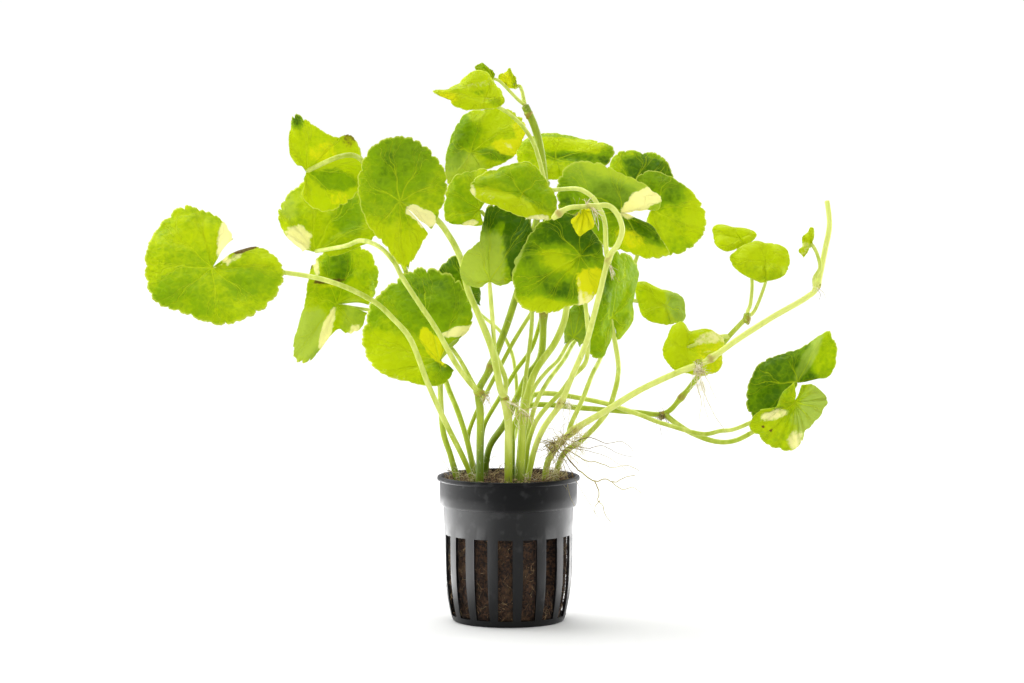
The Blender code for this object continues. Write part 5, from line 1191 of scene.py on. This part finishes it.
# Net pot and plug: height and radius up the outside, and down the inside
POT_OUTSIDE = (
    (0, 19.9), (0.25, 20.5), (1, 20.95), (2.4, 21.4), (5, 22), (8.5, 22.65), (12, 23.1), (16, 23.5),
    (22, 23.75), (32.5, 23.8), (38, 23.95), (42.9, 24.2), (43.1, 25.2), (43.5, 25.4), (47.5, 25.45),
    (52.1, 25.5), (52.4, 25.7), (52.6, 26.4), (53.2, 26.5), (53.8, 26.3), (54, 25.9))
POT_INSIDE = ((53.9, 25), (53.2, 24.6), (44, 24.4), (42.6, 23.2), (32.5, 22.8), (22, 22.75), (12, 22.1),
              (2.4, 20.4), (1.4, 19.8))
POT_SIDES = 128
COLLAR_FOOT = 42.6 * MM
SLOT_COUNT = 16
SLOT_SIZE = (6.0 * MM, 5.4 * MM, 30.1 * MM)
SLOT_PLACE = (22.5 * MM, 17.45 * MM)  # out from the axis, and up
SLOT_START = math.radians(-92.9)
BASE_HOLE_COUNT = 6
BASE_HOLE_SIZE = (7.0 * MM, 2.6 * MM, 6.0 * MM)
BASE_HOLE_PLACE = (13.5 * MM, 0.7 * MM)
EDGE_ROUNDING = 0.16 * MM
PLUG_OUTSIDE = (
    (1.8, 19), (4, 19.8), (8, 20.6), (12, 21.1), (17, 21.5), (22, 21.8), (27, 21.8), (32.5, 21.8),
    (38, 21.9), (42.6, 21.8), (46.5, 21.2), (49.5, 20.4), (51, 18.8), (51.7, 16), (52, 12), (52.1, 8),
    (52.2, 4))
PLUG_SIDES = 160
HOLLOW_SLOT = 2                      # the plug is hollow behind this slot
HOLLOW_DEPTH = 5.5
HOLLOW_HALF_WIDTH = 0.24             # radians
LOOSE_FIBRES = 120                   # in each slot
LOOSE_FIBRES_AT_HOLLOW = 70
TOP_FIBRES = 1500
CAP_CORNERS = 8                      # what the ends add to a four-sided strand


def turned(profile, sides):
    """A round body: a circle drawn up in rings, each extruded from the last and scaled."""
    deselect()
    height, radius = profile[0]
    bpy.ops.mesh.primitive_circle_add(vertices=sides, radius=radius * MM, fill_type="NGON",
                                      location=(0.0, 0.0, height * MM))
    body = bpy.context.object
    bpy.ops.object.transform_apply(location=True)
    bpy.ops.object.mode_set(mode="EDIT")
    for next_height, next_radius in profile[1:]:
        rise = (0.0, 0.0, (next_height - height) * MM)
        bpy.ops.mesh.extrude_region_move(TRANSFORM_OT_translate={"value": rise})
        share = next_radius / radius
        bpy.ops.transform.resize(value=(share, share, 1.0), center_override=(0.0, 0.0, next_height * MM))
        height, radius = next_height, next_radius
    bpy.ops.mesh.select_all(action="SELECT")
    bpy.ops.mesh.normals_make_consistent(inside=False)
    close_mesh()
    return body


def cut_ring(thing, count, size, place):
    """Cuts equal openings in a ring round the pot's axis."""
    out, height = place
    blocks = []
    for index in range(count):
        angle = SLOT_START + index * math.tau / count
        deselect()
        bpy.ops.mesh.primitive_cube_add(size=1.0, rotation=(0.0, 0.0, angle),
                                        location=(out * math.cos(angle), out * math.sin(angle), height))
        block = bpy.context.object
        block.scale = size
        apply_place(block)
        blocks.append(block)
    cutter = join(blocks, "cutter")
    apply_modifier(thing, "BOOLEAN", operation="DIFFERENCE", solver="EXACT", object=cutter)
    bpy.data.objects.remove(cutter, do_unlink=True)


def make_pot(finish):
    pot = turned(POT_OUTSIDE + POT_INSIDE, POT_SIDES)
    cut_ring(pot, SLOT_COUNT, SLOT_SIZE, SLOT_PLACE)
    cut_ring(pot, BASE_HOLE_COUNT, BASE_HOLE_SIZE, BASE_HOLE_PLACE)
    apply_modifier(pot, "BEVEL", width=EDGE_ROUNDING, segments=2, limit_method="ANGLE",
                   angle_limit=math.radians(45.0))
    name_piece(pot, "net_pot", finish)
    settle(pot, ("pot",))
    pick(pot)
    bpy.ops.object.shade_smooth_by_angle(angle=math.radians(32.0))


def make_plug(finish):
    """The plug's body: lumpy, with a hollow behind one slot at the right."""
    plug = turned(PLUG_OUTSIDE, PLUG_SIDES)
    apply_modifier(plug, "SUBSURF", subdivision_type="SIMPLE", levels=1, render_levels=1)
    hollow_way = SLOT_START + HOLLOW_SLOT * math.tau / SLOT_COUNT
    for corner in plug.data.vertices:
        place = corner.co
        angle = math.atan2(place.y, place.x)
        rough = noise.noise(place * 420.0) * 0.7 + noise.noise(place * 1100.0) * 0.45 - 0.35
        if 2.2 * MM < place.z < 51.5 * MM:
            turn = abs((angle - hollow_way + math.pi) % math.tau - math.pi)
            hollow = max(0.0, 1.0 - turn / HOLLOW_HALF_WIDTH) * float(smooth_step(place.z / MM, 8.0, 15.0))
            out = Vector((math.cos(angle), math.sin(angle), 0.0))
            corner.co = place + out * (min(rough, 0.25) - HOLLOW_DEPTH * hollow ** 0.6) * MM
        elif place.z >= 51.5 * MM:
            corner.co = place + Vector((0.0, 0.0, (min(rough, 0.1) - 0.6) * MM))
    name_piece(plug, "fibre_body", finish)
    settle(plug, ("fibre_plug",))


def strands(name, lines, finish, nodes=()):
    """Many thin threads as one piece. A line is its points, its radius and its tone."""
    curve = bpy.data.curves.new(name, "CURVE")
    curve.dimensions = "3D"
    curve.bevel_depth = 1.0 * MM
    curve.bevel_resolution = 0
    curve.use_fill_caps = True
    tones = []
    for points, radius, tone in lines:
        spline = curve.splines.new("POLY")
        spline.points.add(len(points) - 1)
        for index, point in enumerate(points):
            share = index / (len(points) - 1)
            spline.points[index].co = (*point, 1.0)
            spline.points[index].radius = radius / MM * (1.0 - 0.6 * share)
        tones += [tone] * (4 * len(points) + CAP_CORNERS)
    thing = bpy.data.objects.new(name, curve)
    bpy.context.scene.collection.objects.link(thing)
    pick(thing)
    bpy.ops.object.convert(target="MESH")
    note_values(thing, "tone", tones)
    open_mesh(thing)
    bpy.ops.mesh.remove_doubles(threshold=STRAND_WELD)
    bpy.ops.mesh.normals_make_consistent(inside=False)
    close_mesh()
    name_piece(thing, name, finish)
    settle(thing, nodes)


def wander(start, way, length, bend, seed, steps, droop=0.0):
    """A thin line from start along way, drifting sideways as it goes."""
    point = Vector(start)
    heading = Vector(way).normalized()
    points = [point.copy()]
    for step in range(steps):
        push = shake(seed, (step * 0.37, step * 0.41, step * 0.33), (1.7, 8.2, 4.9))
        heading = (heading + push * bend + Vector((0.0, 0.0, -droop))).normalized()
        point = point + heading * (length / steps)
        points.append(point.copy())
    return points


def slot_fibres(chance):
    """Loose fibres that fill each slot, fewer and lower where the plug is hollow."""
    lines = []
    for slot in range(SLOT_COUNT):
        middle = SLOT_START + slot * math.tau / SLOT_COUNT
        hollow = slot == HOLLOW_SLOT
        for _ in range(LOOSE_FIBRES_AT_HOLLOW if hollow else LOOSE_FIBRES):
            angle = middle + chance.uniform(-0.16, 0.16)
            height = chance.uniform(2.6, 12.0 if hollow else 32.0)
            way = chance.uniform(0.0, math.tau)
            base = chance.uniform(21.0, 23.0) - 1.2 * max(0.0, 1.0 - height / 12.0)
            seed = chance.uniform(0.0, 90.0)
            reach = chance.uniform(2.0, 6.0)
            points = []
            for step in range(8):
                way += noise.noise(Vector((seed, step * 0.6, 2.2))) * 1.4
                angle += math.cos(way) * reach / 8 / base
                height += math.sin(way) * reach / 8
                out = base + noise.noise(Vector((seed, step * 0.5, 7.7))) * 1.6
                out = min(out, 20.6 + 2.6 * min(1.0, height / 14.0))
                height = max(height, 1.6)
                points.append(Vector((out * math.cos(angle), out * math.sin(angle), height)) * MM)
            lines.append((points, chance.uniform(0.04, 0.09) * MM, chance.uniform(0.0, 0.9) ** 2.2))
    return lines


def kept_inside(point):
    """Holds a loose fibre inside the collar and low on the plug."""
    out = math.hypot(point.x, point.y)
    share = min(1.0, 24.0 * MM / out) if out > 0 else 1.0
    return Vector((point.x * share, point.y * share, min(max(point.z, 49.0 * MM), 55.2 * MM)))


def top_fibres(chance):
    """Loose fibres that lie across the top of the plug."""
    lines = []
    for _ in range(TOP_FIBRES):
        angle = chance.uniform(0.0, math.tau)
        out = 24.0 * math.sqrt(chance.uniform(0.05, 1.0))
        start = Vector((out * math.cos(angle), out * math.sin(angle), chance.uniform(50.8, 53.2)))
        way = Vector((chance.uniform(-1, 1), chance.uniform(-1, 1), chance.uniform(-0.25, 0.4)))
        points = wander(start * MM, way, chance.uniform(3.0, 9.0) * MM, 0.6, chance.uniform(0.0, 90.0), 7)
        tan = noise.noise(start * 0.12) + 0.45
        lines.append(([kept_inside(point) for point in points], chance.uniform(0.04, 0.13) * MM,
                      min(1.0, max(0.0, tan + chance.uniform(-0.3, 0.3)))))
    return lines


# Roots
def traced(places, seed):
    """A thin line along given sights (x, z, depth), with a fine waver."""
    points = np.array([tuple(sight(*place)) for place in places])
    count = (len(places) - 1) * 6 + 1
    line = through(points, np.linspace(0.0, len(places) - 1.001, count))
    return [Vector(place) + shake(seed, (index * 0.5,) * 3, (0.3, 5.3, 9.3)) * 0.25 * MM
            for index, place in enumerate(line)]


def any_way(chance):
    return Vector((chance.gauss(0, 1), chance.gauss(0, 1), chance.gauss(0, 1)))


def tuft(chance, place, count, ball, length, radius, tones, way, bend=0.9):
    """Fine curly roots that grow out of a small ball around one node."""
    lines = []
    middle = sight(*place)
    for _ in range(count):
        start = middle + any_way(chance).normalized() * ball * chance.uniform(0.2, 1.0) * MM
        heading = any_way(chance) + Vector(way)
        reach = length * chance.uniform(0.35, 1.0) * MM
        lines.append((wander(start, heading, reach, bend, chance.uniform(0, 90), 12, 0.04),
                      radius * chance.uniform(0.6, 1.3) * MM, chance.uniform(*tones)))
    return lines


def nearest_group(groups, loose, place):
    """The root tangle that a root belongs to, or the loose ones."""
    for name, middle in ROOTS.items():
        if math.dist(place, middle) < TANGLE_REACH:
            return groups[name]
    return loose


def sheath(place, half_width, half_height, tone, name, finish):
    """A papery brown collar round a node."""
    deselect()
    middle = sight(*place)
    bpy.ops.mesh.primitive_uv_sphere_add(segments=24, ring_count=14, radius=1.0, location=middle)
    collar = bpy.context.object
    collar.scale = (half_width * MM, half_width * MM, half_height * MM)
    apply_place(collar)
    for corner in collar.data.vertices:
        from_middle = corner.co - middle
        corner.co = middle + from_middle * (1.0 + 0.35 * noise.noise(corner.co * 700.0))
    count = len(collar.data.vertices)
    note_values(collar, "tone", np.full(count, tone + 0.35))
    note_values(collar, "node", np.full(count, 1.0))
    return name_piece(collar, name, finish)


def make_roots(root_look, stem_look):
    chance = random.Random(5)
    groups = {name: [] for name in ROOTS}
    loose = []
    for tone, radius, places in ROOT_THREADS:
        line = traced(places, chance.uniform(0.0, 90.0))
        nearest_group(groups, loose, places[0]).append((line, radius * MM, tone))
    for place, *habit in ROOT_CLUSTERS:
        nearest_group(groups, loose, place).extend(tuft(chance, place, *habit))
    for name, lines in groups.items():
        strands(name.replace("roots", "root_tangle"), lines, root_look, (name,))
    strands("loose_roots", loose, root_look)
    for index, facts in enumerate(SHEATHS):
        settle(sheath(*facts, f"node_sheath_{index + 1}", stem_look))


# Studio
HORIZON = 1.02
UPWARDS = (math.pi, 0.0, 0.0)        # how a lamp is turned to shine straight up
POT_MIDDLE = Vector((0.0, 0.0, 0.03))
SUN_SPREAD = math.radians(60.0)


def stand_up(name, thing, place, turn):
    """Puts a lamp or the camera in its place."""
    stand = bpy.data.objects.new(name, thing)
    stand.location = place
    stand.rotation_euler = turn
    bpy.context.scene.collection.objects.link(stand)
    return stand


def add_lamp(name, kind, power, place, turn, **settings):
    lamp = bpy.data.lights.new(name, kind)
    lamp.energy = power
    for key, value in settings.items():
        setattr(lamp, key, value)
    return stand_up(name, lamp, place, turn)


def towards(way):
    return Vector(way).to_track_quat("-Z", "Y").to_euler()


def table_glow(name, place, size, power, lit_only):
    """Light that a bright table top throws back at one collection. It isn't seen itself."""
    across, along = size
    stand = add_lamp(name, "AREA", power, place, UPWARDS, shape="RECTANGLE", size=across, size_y=along)
    stand.visible_camera = False
    stand.light_linking.receiver_collection = lit_only


def make_sky():
    """White around the horizon, darker above and on the camera's side."""
    world = bpy.data.worlds.new("studio")
    bpy.context.scene.world = world
    world.use_nodes = True
    sky = Nodes(world.node_tree)
    way = sky.parts(sky.place("Generated"))
    above = sky.span(way["Y"], -0.8, 0.6, 0.22, 0.80, smooth=False)
    light = sky.tree.nodes["Background"]
    sky.feed(light.inputs["Strength"], sky.span(way["Z"], 0.0, 0.40, HORIZON, above))
    sky.feed(light.inputs["Color"], (1.0, 1.0, 1.0))


def make_camera():
    camera = bpy.data.cameras.new("camera")
    camera.lens = CAMERA_LENS
    camera.sensor_width = 36.0
    turn = (math.radians(90.0) - CAMERA_TILT, 0.0, 0.0)
    bpy.context.scene.camera = stand_up("camera", camera, EYE, turn)
    bpy.context.scene.view_settings.view_transform = "Standard"


def make_studio():
    deselect()
    bpy.ops.mesh.primitive_grid_add(x_subdivisions=8, y_subdivisions=8, size=16.0)
    floor = bpy.context.object
    name_piece(floor, "studio_floor", floor_finish())
    make_sky()
    for name, power, way in (("key", 2.7, (0.25, -0.45, -0.90)), ("fill", 1.1, (-0.20, 0.60, -0.70))):
        add_lamp(name, "SUN", power, (0.0, 0.0, 0.0), towards(way), angle=SUN_SPREAD)
    for name, power, place, size in (("left strip", 6.0, Vector((-0.75, 0.15, 0.22)), 0.75),
                                     ("right strip", 4.2, Vector((0.72, 0.40, 0.20)), 0.60)):
        add_lamp(name, "AREA", power, place, towards(POT_MIDDLE - place), shape="DISK", size=size)
    pot_only = bpy.data.collections.new("pot only")
    pot_only.objects.link(bpy.data.objects["net_pot"])
    table_glow("left table glow", (-0.15, 0.05, 0.002), (0.20, 0.34), 1.75, pot_only)
    table_glow("right table glow", (0.14, 0.10, 0.002), (0.18, 0.30), 0.85, pot_only)
    make_camera()


leaf_look = leaf_finish()
stem_look = stem_finish()
fibre_look = fibre_finish()
strand_look = strand_finish("loose fibre", LOOSE_FIBRE_TONES, 0.8)
root_look = strand_finish("fine root", FINE_ROOT_TONES, 0.5)
make_pot(pot_finish())
make_plug(fibre_look)
fibre_chance = random.Random(11)
strands("slot_fibres", slot_fibres(fibre_chance), strand_look)
strands("top_fibres", top_fibres(fibre_chance), strand_look)
make_plant(leaf_look, stem_look)
make_roots(root_look, stem_look)
make_studio()
